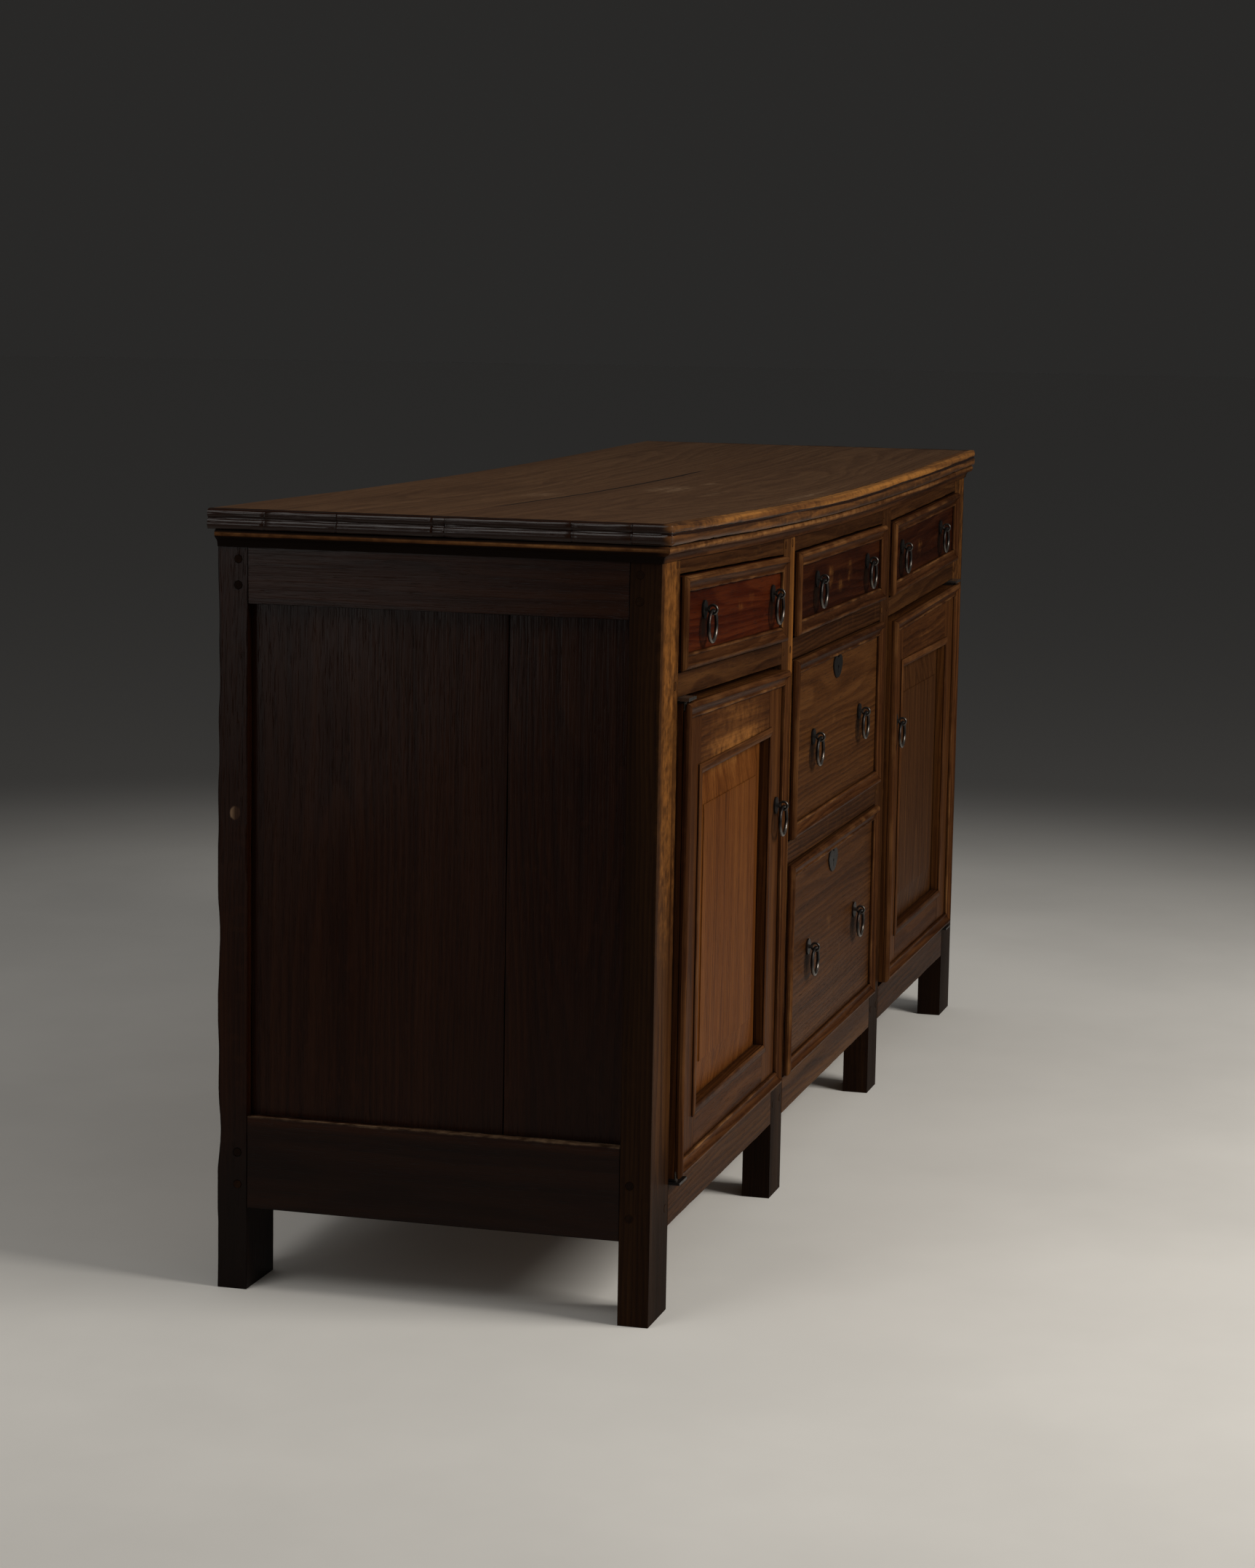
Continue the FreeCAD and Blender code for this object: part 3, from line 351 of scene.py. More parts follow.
@dataclass(frozen=True)
class OakFinish:
    """Old waxed oak."""

    name: str
    slot: Slot  # the record's slot for it
    heart: Colour  # colour of its darkest streaks
    body: Colour  # its main colour
    bright: Colour  # colour of its palest streaks
    worn: Colour  # colour where handling has taken the stain off, and of painted highlights
    grime_and_shade: Colour = (0.006, 0.0032, 0.0020, 1.0)  # colour of old wax and dirt, and of painted shade
    gloss: float = 0.42  # roughness of the waxed surface
    soil_gloss: float = 0.55  # roughness where it is soiled
    shine: float = 0.02  # level of its reflections
    blotch: float = 0.35  # strength of the dark patches
    fleck: float = 0.2  # strength of the pale flecks across the grain
    edge_wear: float = 0.6  # how much of the edges is worn pale
    relief: float = 0.0004  # depth of the open grain

    TONES = (0.32, 0.5, 0.68)
    CREVICE_SHADE_REACH = 0.009
    WEAR_SPREAD = 0.3

    def material(self) -> Material:
        """Build the material.

        Returns:
            The material.
        """
        nodes = Nodes(bpy.data.materials.new(self.name))
        grain = OakGrain(nodes)
        crevice_shade = nodes.crevice_shade(self.CREVICE_SHADE_REACH).smooth(0.2, 0.75)
        soil = (nodes.mark(Mark.SOIL_AND_SHADE) * (0.6 + grain.drift * 0.8)).smooth(0.05, 0.95)
        colour = self._grain_colour(grain)
        colour = nodes.mix(grain.drift.smooth(0.45, 0.72) * self.blotch, colour, self.heart)
        colour = nodes.mix(grain.pores * 0.5, colour, self.grime_and_shade)
        worn = nodes.mix(grain.streaks.smooth(0.38, 0.6), self.bright, self.worn)
        colour = nodes.mix(self._wear_and_light(grain), colour, worn)
        # Painted shade: corners and gaps found by the occlusion, and the painted shade carried by the soil
        # mark, take the grime colour
        colour = nodes.mix(soil.at_least(crevice_shade * 0.85), colour, self.grime_and_shade)
        roughness = self.gloss + grain.drift.centred() * 0.2 + grain.fibres.centred() * 0.15
        roughness = roughness + soil * (self.soil_gloss - self.gloss)
        height = grain.fibres * 0.6 + grain.streaks * 0.7 + grain.dents * 0.4 - grain.pores * 0.4
        normal = nodes.bump(height, self.relief, 0.8)
        return nodes.surface({"Base Color": colour, "Roughness": roughness, "Normal": normal,
                              "Specular IOR Level": self.shine})

    def _grain_colour(self, grain: OakGrain) -> Signal:
        """Colour the figure of the board.

        Args:
            grain: The board's patterns.

        Returns:
            The colour before any wear.
        """
        tone = grain.streaks * 0.62 + grain.rings * 0.13 + grain.fibres * 0.25
        tone = tone + grain.nodes.mark(Mark.TINT).centred() * 0.1
        stops = list(zip(self.TONES, (self.heart, self.body, self.bright)))
        colour = grain.nodes.node("ShaderNodeValToRGB", {"stops": stops}, {"Fac": tone})
        return grain.nodes.mix(grain.flecks * self.fleck, colour, self.bright)

    def _wear_and_light(self, grain: OakGrain) -> Signal:
        """Find where handling and knocks have worn the piece pale, and where pale light is painted.

        Args:
            grain: The board's patterns, which break up the wear.

        Returns:
            The share of worn colour.
        """
        start = 0.62 - 0.3 * self.edge_wear
        edges = grain.nodes.mark(Mark.ARRIS) * grain.lengths.smooth(start, start + self.WEAR_SPREAD)
        rubbed_and_lit = grain.nodes.mark(Mark.RUB_AND_LIGHT) * (grain.knocks * 1.6 + grain.fibres * 0.4)
        return (edges * 0.6).at_least(rubbed_and_lit.smooth(0.25, 0.8) * 0.9)


@dataclass(frozen=True)
class IronFinish:
    """Old blackened iron, brighter where it has been handled."""

    name: str = "black_iron"
    slot: Slot = Slot.IRON  # the record's slot for it
    black: Colour = (0.022, 0.020, 0.019, 1.0)  # colour of the blackened skin
    bare: Colour = (0.13, 0.115, 0.10, 1.0)  # colour of the handled metal
    rust: Colour = (0.05, 0.022, 0.012, 1.0)  # colour of the dull brown patches
    gloss: float = 0.40  # roughness of the skin
    relief: float = 0.0004  # depth of the hammered skin

    def material(self) -> Material:
        """Build the material.

        Returns:
            The material.
        """
        nodes = Nodes(bpy.data.materials.new(self.name))
        place = nodes.grain()
        skin = nodes.noise(place, 130.0, 4.0, 0.6)
        patches = nodes.noise(place, 45.0, 3.0)
        touched = nodes.mark(Mark.ARRIS) * 0.5 + nodes.mark(Mark.RUB_AND_LIGHT) * 0.8
        handled = (touched * (0.5 + skin)).smooth(0.15, 0.95)
        colour = nodes.mix(patches.smooth(0.5, 0.75) * 0.6, self.black, self.rust)
        colour = nodes.mix(handled, colour, self.bare)
        roughness = self.gloss - handled * 0.14 + skin.centred() * 0.25
        normal = nodes.bump(skin + patches * 0.6, self.relief, 0.7)
        return nodes.surface({"Base Color": colour, "Roughness": roughness, "Metallic": 0.85,
                              "Normal": normal})


Finish = OakFinish | IronFinish

# Each finish has its heart, body, bright and worn colours, and its grime and painted-shade colour where that
# isn't the usual one
TOP_OAK = OakFinish(
    "top_oak", Slot.TOP, (0.058, 0.026, 0.0105, 1), (0.082, 0.039, 0.0160, 1), (0.106, 0.053, 0.0230, 1),
    (0.22, 0.140, 0.078, 1), gloss=0.44, shine=0.22, edge_wear=0.2, relief=0.0003)
NOSING_OAK = OakFinish(
    "nosing_oak", Slot.TOP, (0.016, 0.0062, 0.0022, 1), (0.046, 0.0175, 0.0052, 1),
    (0.110, 0.042, 0.0105, 1), (0.28, 0.115, 0.023, 1), (0.0110, 0.0036, 0.0016, 1), gloss=0.36,
    soil_gloss=0.24, shine=0.22, edge_wear=0.3, relief=0.00015)
FRAME_OAK = OakFinish(
    "frame_oak", Slot.FRAME, (0.014, 0.0050, 0.0019, 1), (0.033, 0.0122, 0.0040, 1),
    (0.060, 0.024, 0.0070, 1), (0.21, 0.080, 0.017, 1), edge_wear=0.9)
# The ends, rear stiles and end rails: darker oak made near-black with painted shade, as the unlit ends look
SHADED_END_OAK = OakFinish(
    "end_oak", Slot.END, (0.0070, 0.0019, 0.0007, 1), (0.0120, 0.0033, 0.0011, 1),
    (0.018, 0.0053, 0.0017, 1), (0.24, 0.150, 0.085, 1), (0.0032, 0.0015, 0.0009, 1), gloss=0.27,
    soil_gloss=0.45, shine=0.08, blotch=0.6, fleck=0.4, edge_wear=0.25, relief=0.0003)
DRAWER_OAK = OakFinish(
    "drawer_oak", Slot.DRAWER, (0.012, 0.0019, 0.0007, 1), (0.027, 0.0042, 0.0012, 1),
    (0.050, 0.0100, 0.0025, 1), (0.16, 0.064, 0.0135, 1), gloss=0.36)
DARK_DRAWER_OAK = OakFinish(
    "dark_drawer_oak", Slot.DRAWER, (0.0075, 0.0018, 0.0008, 1), (0.0165, 0.0038, 0.0014, 1),
    (0.034, 0.0095, 0.0028, 1), (0.14, 0.058, 0.0130, 1), gloss=0.36)
DEEP_OAK = OakFinish(
    "deep_drawer_oak", Slot.DRAWER, (0.025, 0.0088, 0.0027, 1), (0.046, 0.0168, 0.0048, 1),
    (0.072, 0.028, 0.0078, 1), (0.16, 0.070, 0.0190, 1))
DOOR_OAK = OakFinish(
    "door_oak", Slot.DOOR, (0.050, 0.0150, 0.0034, 1), (0.088, 0.0275, 0.0056, 1),
    (0.130, 0.046, 0.0100, 1), (0.20, 0.085, 0.0220, 1))
# A darker copy of DOOR_OAK for the right door's panel: painted shade, as that door gets less light
SHADED_DOOR_OAK = OakFinish(
    "shaded_far_door_oak", Slot.DOOR, (0.024, 0.0085, 0.0028, 1), (0.044, 0.0165, 0.0052, 1),
    (0.070, 0.028, 0.0085, 1), (0.15, 0.066, 0.0190, 1))
DOOR_FRAME_OAK = OakFinish(
    "door_frame_oak", Slot.DOOR, (0.022, 0.0072, 0.0023, 1), (0.044, 0.0150, 0.0043, 1),
    (0.076, 0.028, 0.0075, 1), (0.19, 0.075, 0.0180, 1))
MOULDING_OAK = OakFinish(
    "moulding_oak", Slot.MOULDING, (0.014, 0.0046, 0.0018, 1), (0.036, 0.0125, 0.0042, 1),
    (0.070, 0.026, 0.0080, 1), (0.20, 0.092, 0.030, 1), gloss=0.38, edge_wear=0.75)
INNER_OAK = OakFinish(
    "inner_oak", Slot.INNER, (0.10, 0.052, 0.024, 1), (0.20, 0.115, 0.056, 1), (0.30, 0.19, 0.10, 1),
    (0.34, 0.23, 0.13, 1), (0.03, 0.018, 0.01, 1), gloss=0.7, blotch=0.3)
IRON = IronFinish()


@lru_cache(maxsize=None)
def material_of(finish: Finish) -> Material:
    """Give the material of a finish, built once."""
    return finish.material()


# Worn pieces


def marked_mesh() -> BMesh:
    """Start a mesh whose points have room for every mark.

    Returns:
        The mesh.
    """
    work = bmesh.new()
    work.verts.layers.float_vector.new(Mark.GRAIN.value)
    for mark in (Mark.BOARD, Mark.ARRIS, Mark.RUB_AND_LIGHT, Mark.SOIL_AND_SHADE, Mark.TINT):
        work.verts.layers.float.new(mark.value)
    return work


def layer_of(work: BMesh, mark: Mark) -> BMLayerItem:
    """Give the layer of a mesh that holds a mark."""
    layers = work.verts.layers
    return layers.float_vector[mark.value] if mark is Mark.GRAIN else layers.float[mark.value]


def box_of(verts: Collection[BMVert]) -> list[Vector]:
    """Give the lowest and the highest corner of some points."""
    return [Vector(pick(vert.co[axis] for vert in verts) for axis in range(3)) for pick in (min, max)]


def dress(work: BMesh, name: str, node: str, finish: Finish) -> Object:
    """Make a piece that stands for a CAD node, with a finish.

    Args:
        work: The mesh, which is used up.
        name: Name of the piece.
        node: The CAD node that it replaces and moves with.
        finish: Its finish.

    Returns:
        The piece.
    """
    mesh = bpy.data.meshes.new(name)
    work.to_mesh(mesh)
    work.free()
    piece = bpy.data.objects.new(name, mesh)
    piece.data.materials.append(material_of(finish))
    bpy.context.scene.collection.objects.link(piece)
    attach(piece, frame["nodes"][node]["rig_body"])
    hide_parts(node)
    return piece


@dataclass(frozen=True)
class Board:
    """How the grain runs through one separate solid of a piece."""

    middle: Vector  # the middle of the solid
    axes: tuple[Vector, Vector, Vector]  # directions along, across and through the grain
    start: Vector  # its own place in the log
    shade: float  # how pale it is among its neighbours, from 0 to 1

    LOG_RANGES = ((0.0, 40.0), (-0.05, 0.05), (-0.06, 0.06))

    @classmethod
    def of(cls, verts: Sequence[BMVert], chance: random.Random) -> Board:
        """Read a solid.

        Args:
            verts: Its points.
            chance: Where its place in the log comes from.

        Returns:
            The way that its grain runs.
        """
        edges = [edge for vert in verts for edge in vert.link_edges]
        longest = max(edges, key=lambda edge: edge.calc_length())
        along = (longest.verts[1].co - longest.verts[0].co).normalized()
        low, high = box_of(verts)
        main = max(range(3), key=lambda axis: abs(along[axis]))
        others = [axis for axis in range(3) if axis != main]
        through = axis_direction(min(others, key=lambda axis: high[axis] - low[axis]))
        across = through.cross(along).normalized()
        start = Vector([chance.uniform(*limits) for limits in cls.LOG_RANGES])
        middle = sum((vert.co for vert in verts), Vector()) / len(verts)
        return cls(middle, (along, across, through), start, chance.random())

    def grain_at(self, place: Vector) -> Vector:
        """Give the place along, across and through the grain."""
        return self.start + Vector((place - self.middle).dot(axis) for axis in self.axes)


def solids_of(mesh: bpy.types.Mesh) -> list[list[list[Triple]]]:
    """Part a CAD mesh into its solids, whose faces follow one another until each is closed.

    Args:
        mesh: The mesh of a CAD node.

    Returns:
        The faces of each solid, as lists of corners.
    """
    solids: list[list[list[Triple]]] = [[]]
    open_edges: set[tuple[Triple, Triple]] = set()
    for polygon in mesh.polygons:
        corners = [mesh.vertices[index].co.to_tuple() for index in polygon.vertices]
        solids[-1].append(corners)
        for here, there in zip(corners, corners[1:] + corners[:1]):
            if (there, here) in open_edges:
                open_edges.remove((there, here))
            else:
                open_edges.add((here, there))
        if not open_edges:
            solids.append([])
    return [solid for solid in solids if solid]


@dataclass
class WornPiece:
    """A CAD node's boards or irons with softened edges, small warps and the marks of use."""

    node: str  # the CAD node
    finish: Finish
    soften: float = 0.0016  # width of the rounding of the edges
    spacing: float = 0.03  # distance between the cuts that let the piece warp
    warp: float = 0.0005  # most that a face has moved in
    chip: float = 0.0012  # most that an edge has lost
    rub: Field = nowhere  # where handling has worn it and where light is painted pale, from 0 to 1
    soil: Field = nowhere  # where dirt has gathered and where shade is painted, from 0 to 1
    shift: Shift = standing_still  # how far each place has moved
    extra_cuts: Sequence[Cut] = ()  # more cuts, each a place and a direction
    mitre_axis: int | None = None  # axis that the mitres of a moulding run along, if it has any
    work: BMesh = field(default_factory=marked_mesh, init=False)

    WELD = 1e-6  # distance within which points are one
    FLAT = math.radians(0.6)  # turn below which faces are one
    SLIGHT = 0.02  # least turn of a curve
    SHARP = math.radians(32)  # least turn of a corner
    SLANTED = 0.5  # least slant of a mitre to both axes
    SHORTEST = 0.003  # least length of an edge that is softened
    GENTLE_CURVE = 90.0  # turn per metre of a curve that doesn't wear
    TIGHT_CURVE = 330.0  # turn per metre of one that wears as an edge does
    WARPS_PER_METRE = 9.0
    CHIPS_PER_METRE = 45.0
    CHIP_BIAS = 0.1  # raises the noise, so that over half of an edge is chipped

    def build(self) -> Object:
        """Make the piece and let it stand for its node.

        Returns:
            The piece.
        """
        self._add_solids()
        boards = self._read_boards()
        self._mark_curves()
        self._soften_edges()
        self._cut_up()
        self._lay_grain(boards)
        self._age()
        self._shade()
        piece = dress(self.work, f"worn_{self.node}", self.node, self.finish)
        piece.modifiers.new("even_normals", "WEIGHTED_NORMAL").keep_sharp = True
        return piece

    def _add_solids(self) -> None:
        """Copy the node's solids, which share no points, without the edges inside flat faces."""
        work = self.work
        number = layer_of(work, Mark.BOARD)
        for index, faces in enumerate(solids_of(frame["nodes"][self.node].data)):
            verts: dict[Triple, BMVert] = {}
            for corner in dict.fromkeys(corner for face in faces for corner in face):
                verts[corner] = work.verts.new(corner)
                verts[corner][number] = float(index)
            for face in faces:
                work.faces.new([verts[corner] for corner in face])
        work.normal_update()
        bmesh.ops.dissolve_limit(work, angle_limit=self.FLAT, verts=work.verts[:], edges=work.edges[:])

    def _read_boards(self) -> list[Board]:
        """Read how the grain runs through each solid.

        Returns:
            The boards, in the order of their numbers.
        """
        number = layer_of(self.work, Mark.BOARD)
        chance = random.Random(self.node)
        solids: dict[int, list[BMVert]] = {}
        for vert in self.work.verts:
            solids.setdefault(round(vert[number]), []).append(vert)
        return [Board.of(solids[index], chance) for index in sorted(solids)]

    def _mark_curves(self) -> None:
        """Mark the tight outward curves of mouldings, which wear as edges do."""
        arris = layer_of(self.work, Mark.ARRIS)
        for edge in self.work.edges:
            turn = edge.calc_face_angle_signed(0.0)
            if not self.SLIGHT < turn < self.SHARP:
                continue
            area = sum(face.calc_area() for face in edge.link_faces)
            width = area / (2.0 * edge.calc_length() + self.WELD)
            worn = ramp_up(turn / max(width, self.WELD), self.GENTLE_CURVE, self.TIGHT_CURVE)
            for vert in edge.verts:
                vert[arris] = max(vert[arris], worn)

    def _soften_edges(self) -> None:
        """Round the outer edges and mark the rounded strips."""
        edges = [edge for edge in self.work.edges if self._is_corner(edge)]
        made = bmesh.ops.bevel(self.work, geom=edges, offset=self.soften, offset_type="OFFSET", segments=2,
                               profile=0.5, affect="EDGES", clamp_overlap=True, material=-1, loop_slide=True)
        strips = set(made["faces"])
        arris = layer_of(self.work, Mark.ARRIS)
        for vert in {vert for face in strips for vert in face.verts}:
            if strips.issuperset(vert.link_faces):
                vert[arris] = 1.0

    def _is_corner(self, edge: BMEdge) -> bool:
        """Tell whether an edge is an outer corner that has been rounded."""
        sharp = edge.calc_face_angle_signed(0.0) > self.SHARP and edge.calc_length() >= self.SHORTEST
        return sharp and not any(self._is_mitre(face) for face in edge.link_faces)

    def _is_mitre(self, face: BMFace) -> bool:
        """Tell whether a face closes a length of moulding at a mitre."""
        across = [abs(face.normal[axis]) for axis in range(3) if axis != self.mitre_axis]
        return self.mitre_axis is not None and min(across) > self.SLANTED

    def _cut_up(self) -> None:
        """Cut the faces across so that they can warp."""
        low, high = box_of(self.work.verts)
        cuts = list(self.extra_cuts)
        for axis in range(3):
            count = int((high[axis] - low[axis]) / self.spacing)
            places = [low.lerp(high, step / (count + 1)) for step in range(1, count + 1)]
            cuts += [(place, axis_direction(axis)) for place in places]
        for place, direction in cuts:
            geometry = self.work.verts[:] + self.work.edges[:] + self.work.faces[:]
            bmesh.ops.bisect_plane(self.work, geom=geometry, dist=self.WELD, plane_co=place,
                                   plane_no=direction)

    def _lay_grain(self, boards: Sequence[Board]) -> None:
        """Write the place in the log, and the shade, of every point.

        Args:
            boards: The boards that the points are numbered for.
        """
        number, grain, tint = (layer_of(self.work, mark) for mark in (Mark.BOARD, Mark.GRAIN, Mark.TINT))
        for vert in self.work.verts:
            board = boards[round(vert[number])]
            vert[grain] = board.grain_at(vert.co)
            vert[tint] = board.shade

    def _age(self) -> None:
        """Warp the faces, chip the edges and mark the wear, the dirt and the painted light and shade; a
        piece only loses wood.
        """
        arris, rub, soil = (layer_of(self.work, mark) for mark in (Mark.ARRIS, Mark.RUB_AND_LIGHT, Mark.SOIL_AND_SHADE))
        self.work.normal_update()
        moves = []
        for vert in self.work.verts:
            place = vert.co
            vert[rub] = self.rub(place)
            vert[soil] = self.soil(place)
            sunk = (0.5 + 0.5 * noise.noise(place * self.WARPS_PER_METRE)) * self.warp
            chipped = max(0.0, noise.noise(place * self.CHIPS_PER_METRE) + self.CHIP_BIAS)
            moves.append(self.shift(place) - vert.normal * (sunk + chipped * self.chip * vert[arris]))
        for vert, move in zip(self.work.verts, moves):
            vert.co += move

    def _shade(self) -> None:
        """Shade smoothly except over sharp corners."""
        for face in self.work.faces:
            face.smooth = True
        for edge in self.work.edges:
            edge.smooth = edge.calc_face_angle(0.0) <= self.SHARP


def moulding_piece(node: str) -> WornPiece:
    """Describe the mitred moulding of a drawer or door."""
    return WornPiece(node, MOULDING_OAK, soften=0.0010, spacing=0.015, chip=0.0014, mitre_axis=1)


def iron_piece(node: str, rub: Field = nowhere) -> WornPiece:
    """Describe a piece of ironwork, which is hardly worn."""
    return WornPiece(node, IRON, soften=0.0003, spacing=1.0, warp=0.0, chip=0.0, rub=rub)


def inner_piece(node: str) -> WornPiece:
    """Describe a piece of plain oak inside the carcase."""
    return WornPiece(node, INNER_OAK, soften=0.0008, spacing=0.08)


# Where the marks lie


@dataclass(frozen=True)
class Fade:
    """A mark that rises smoothly along a measure, such as a distance."""

    least_at: float  # measure up to which the mark is least
    most_at: float  # measure from which it is most; it may be the smaller
    most: float = 1.0  # its strength there
    least: float = 0.0  # its strength elsewhere

    def at(self, measure: float) -> float:
        """Give the strength at a measure."""
        return self.least + (self.most - self.least) * ramp_up(measure, self.least_at, self.most_at)


@dataclass(frozen=True)
class Zone:
    """A place that a mark fades away from."""

    centre: Vector  # its middle
    reach: Triple  # how far it goes along each axis
    strength: float  # strength of the mark at the middle

    def at(self, place: Vector) -> float:
        """Give the strength at a place."""
        away = Vector((place[axis] - self.centre[axis]) / self.reach[axis] for axis in range(3))
        return self.strength * ramp_up(away.length, 1.0, 0.0)


def strongest(zones: Sequence[Zone]) -> Field:
    """Make one field of several zones."""
    return lambda place: max((zone.at(place) for zone in zones), default=0.0)


# The dresser base


class Assembly(Protocol):
    """Something that is built in one go."""

    def build(self) -> Pieces:
        """Make its pieces."""


@dataclass
class Top:
    """The two boards of the top, the nosing round them and the cornice under them."""

    sag: float = 0.0145  # how far the middle of the front edge has settled
    cad_sag: float = 0.014  # the same in the CAD model, whose top is made of straight lengths
    cad_flat: float = 0.325  # half the length over which the CAD top is fully settled
    cad_level: float = 0.815  # half the length beyond which the CAD top hasn't settled
    rear_share: float = 6.0 / 14.0  # share of the sag that reaches the rear edge
    lip: float = 0.010  # height of the upper part of the nosing
    bead_end: float = 0.032  # depth of the lower edge of the cornice's bead
    bead_crest: float = 0.005  # height of the bead's crest over that edge
    nosing_width: float = 0.014  # how far the nosing stands out from the boards
    corner_round: float = 0.010  # radius that the front corners have worn to
    smudges: tuple[Zone, ...] = (  # pale smudges on the boards
        Zone(Vector((-0.375, 0.045, 0.845)), (0.17, 0.060, 0.06), 0.50),
        Zone(Vector((-0.13, -0.045, 0.845)), (0.22, 0.070, 0.06), 0.50),
        Zone(Vector((-0.18, -0.110, 0.845)), (0.30, 0.040, 0.06), 0.45),
        Zone(Vector((0.02, -0.065, 0.845)), (0.07, 0.030, 0.06), 0.55),
        Zone(Vector((-0.12, -0.225, 0.845)), (0.40, 0.040, 0.06), 0.50),
    )
    # Places along the left nosing where it has split
    splits: tuple[float, ...] = (0.1955, 0.1156, 0.0079, -0.0049, -0.1429, -0.2070)
    split_width: float = 0.0026  # width of each split at the surface
    split_depth: float = 0.0015  # depth of each split
    front: float = field(init=False)  # place of the front edge of the boards
    joint: float = field(init=False)  # place of the joint between them
    rear: float = field(init=False)  # place of their rear edge
    half_length: float = field(init=False)  # half the length of the boards
    height: float = field(init=False)  # height of the top at its ends
    outer_front: float = field(init=False)  # place of the front of the nosing
    outer_end: float = field(init=False)  # half the length over the nosing

    SAG_SHAPE = 1.3  # power that flattens the sag towards the ends
    CORNER_STEPS = 4  # cuts over the round of a corner; one more lies beyond
    JOINT_CUTS = (-0.003, -0.0012, 0.0012, 0.003)  # distances of the cuts beside the joint
    # Strengths of the marks, and how they fade along the top or away from what they are named for
    JOINT_LEFT = Fade(-0.75, -0.55)
    JOINT_RIGHT = Fade(0.35, 0.15)
    JOINT_DIRT = Fade(0.0030, 0.0011, 1.3)
    PAST_END = Fade(-0.004, 0.002)
    BEHIND_FRONT = Fade(-0.010, 0.0)
    FRONT_FACE = Fade(0.004, -0.002)
    # Wear and painted light on the lip: more on its upper face, less near the left corner
    LIP_WEAR_AND_LIGHT = Fade(0.002, -0.002, 0.68, 0.32)
    WEAR_AND_LIGHT_ALONG = Fade(-0.80, -0.60, 1.0, 0.55)
    CHIP_WEAR = Fade(0.005, 0.002, 0.5)
    # Dark wax and painted shade on the end lengths of the nosing
    END_WAX_AND_SHADE = 0.85
    # Dirt and painted shade in the quirk under the lip
    QUIRK_DIRT_AND_SHADE = Fade(0.0022, 0.0008, 1.2)
    SPLIT_DIRT = 1.3
    BEAD_WEAR = Fade(0.0, -0.003, 0.45)
    CREST = Fade(0.0030, 0.0012)
    # Worn crest of the bead at the ends, painted as a highlight line
    CREST_WEAR_AND_HIGHLIGHT = 0.55
    # Painted shade in the cornice's hollow, only a share of it on the front
    HOLLOW_SHADE = Fade(-0.001, 0.002)
    FRONT_HOLLOW = 0.3
    # Dirt and painted shade on the bead at the ends
    BEAD_DIRT_AND_SHADE = 0.9

    def __post_init__(self) -> None:
        """Take the places of the boards from the frame, and those of the nosing from the boards."""
        low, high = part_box("top_front_board")
        self.front, self.joint = low.y, high.y
        self.half_length, self.height = high.x, high.z
        self.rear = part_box("top_rear_board")[1].y
        self.outer_front = self.front - self.nosing_width
        self.outer_end = self.half_length + self.nosing_width

    def build(self) -> Pieces:
        """Make the four pieces.

        Returns:
            The boards, the nosing and the cornice.
        """
        joint_cuts = cuts_across(1, [self.joint + away for away in self.JOINT_CUTS])
        split_cuts = cuts_across(1, [split + side * self.split_width / 2 for split in self.splits
                                     for side in (-1, 0, 1)])
        steps = [self.corner_round * step / self.CORNER_STEPS for step in range(1, self.CORNER_STEPS + 2)]
        corner_cuts = cuts_across(0, [side * (self.outer_end - step) for side in (-1, 1) for step in steps])
        corner_cuts += cuts_across(1, [self.outer_front + step for step in steps])
        boards = [WornPiece(node, TOP_OAK, soften=0.0008, spacing=0.02, rub=strongest(self.smudges),
                            soil=self.joint_soil, shift=self.settle, extra_cuts=joint_cuts)
                  for node in ("top_front_board", "top_rear_board")]
        nosing = WornPiece("top_nosing", NOSING_OAK, soften=0.0008, spacing=0.015, warp=0.0006, chip=0.002,
                           rub=self.nosing_wear_and_light, soil=self.nosing_soil_and_shade, shift=self.shape_nosing,
                           extra_cuts=split_cuts + corner_cuts, mitre_axis=2)
        cornice = WornPiece("cornice_moulding", MOULDING_OAK, soften=0.0008, spacing=0.015, mitre_axis=2,
                            rub=self.cornice_wear_and_highlight, soil=self.cornice_soil_and_shade, shift=self.settle)
        return [piece.build() for piece in (*boards, nosing, cornice)]

    def sunk(self, place: Vector) -> float:
        """How far the top has settled at a place."""
        share = max(1.0 - (place.x / self.half_length) ** 2, 0.0)
        return self.sag * share ** self.SAG_SHAPE * self.depth_share(place)

    def depth_share(self, place: Vector) -> float:
        """Share of the front's sag that reaches a place."""
        back = min(max((place.y - self.front) / (self.rear - self.front), 0.0), 1.0)
        return 1.0 - (1.0 - self.rear_share) * back

    def settle(self, place: Vector) -> Vector:
        """Turn the straight slopes of the CAD top into one smooth sag."""
        slope = min(max((self.cad_level - abs(place.x)) / (self.cad_level - self.cad_flat), 0.0), 1.0)
        return Vector((0.0, 0.0, self.cad_sag * slope * self.depth_share(place) - self.sunk(place)))

    def from_split(self, place: Vector) -> float:
        """Distance from the nearest split of the left nosing."""
        on_left = place.x <= -self.half_length
        return min(abs(place.y - split) for split in self.splits) if on_left else math.inf

    def in_split(self, place: Vector) -> float:
        """Share by which a place lies in a split."""
        return ramp_up(self.from_split(place), self.split_width / 2, 0.0)

    def shape_nosing(self, place: Vector) -> Vector:
        """Settle the nosing, open the splits of its left end and round its front corners."""
        opened = Vector((self.split_depth * self.in_split(place), 0.0, 0.0))
        return self.settle(place) + opened + self.round_corner(place)

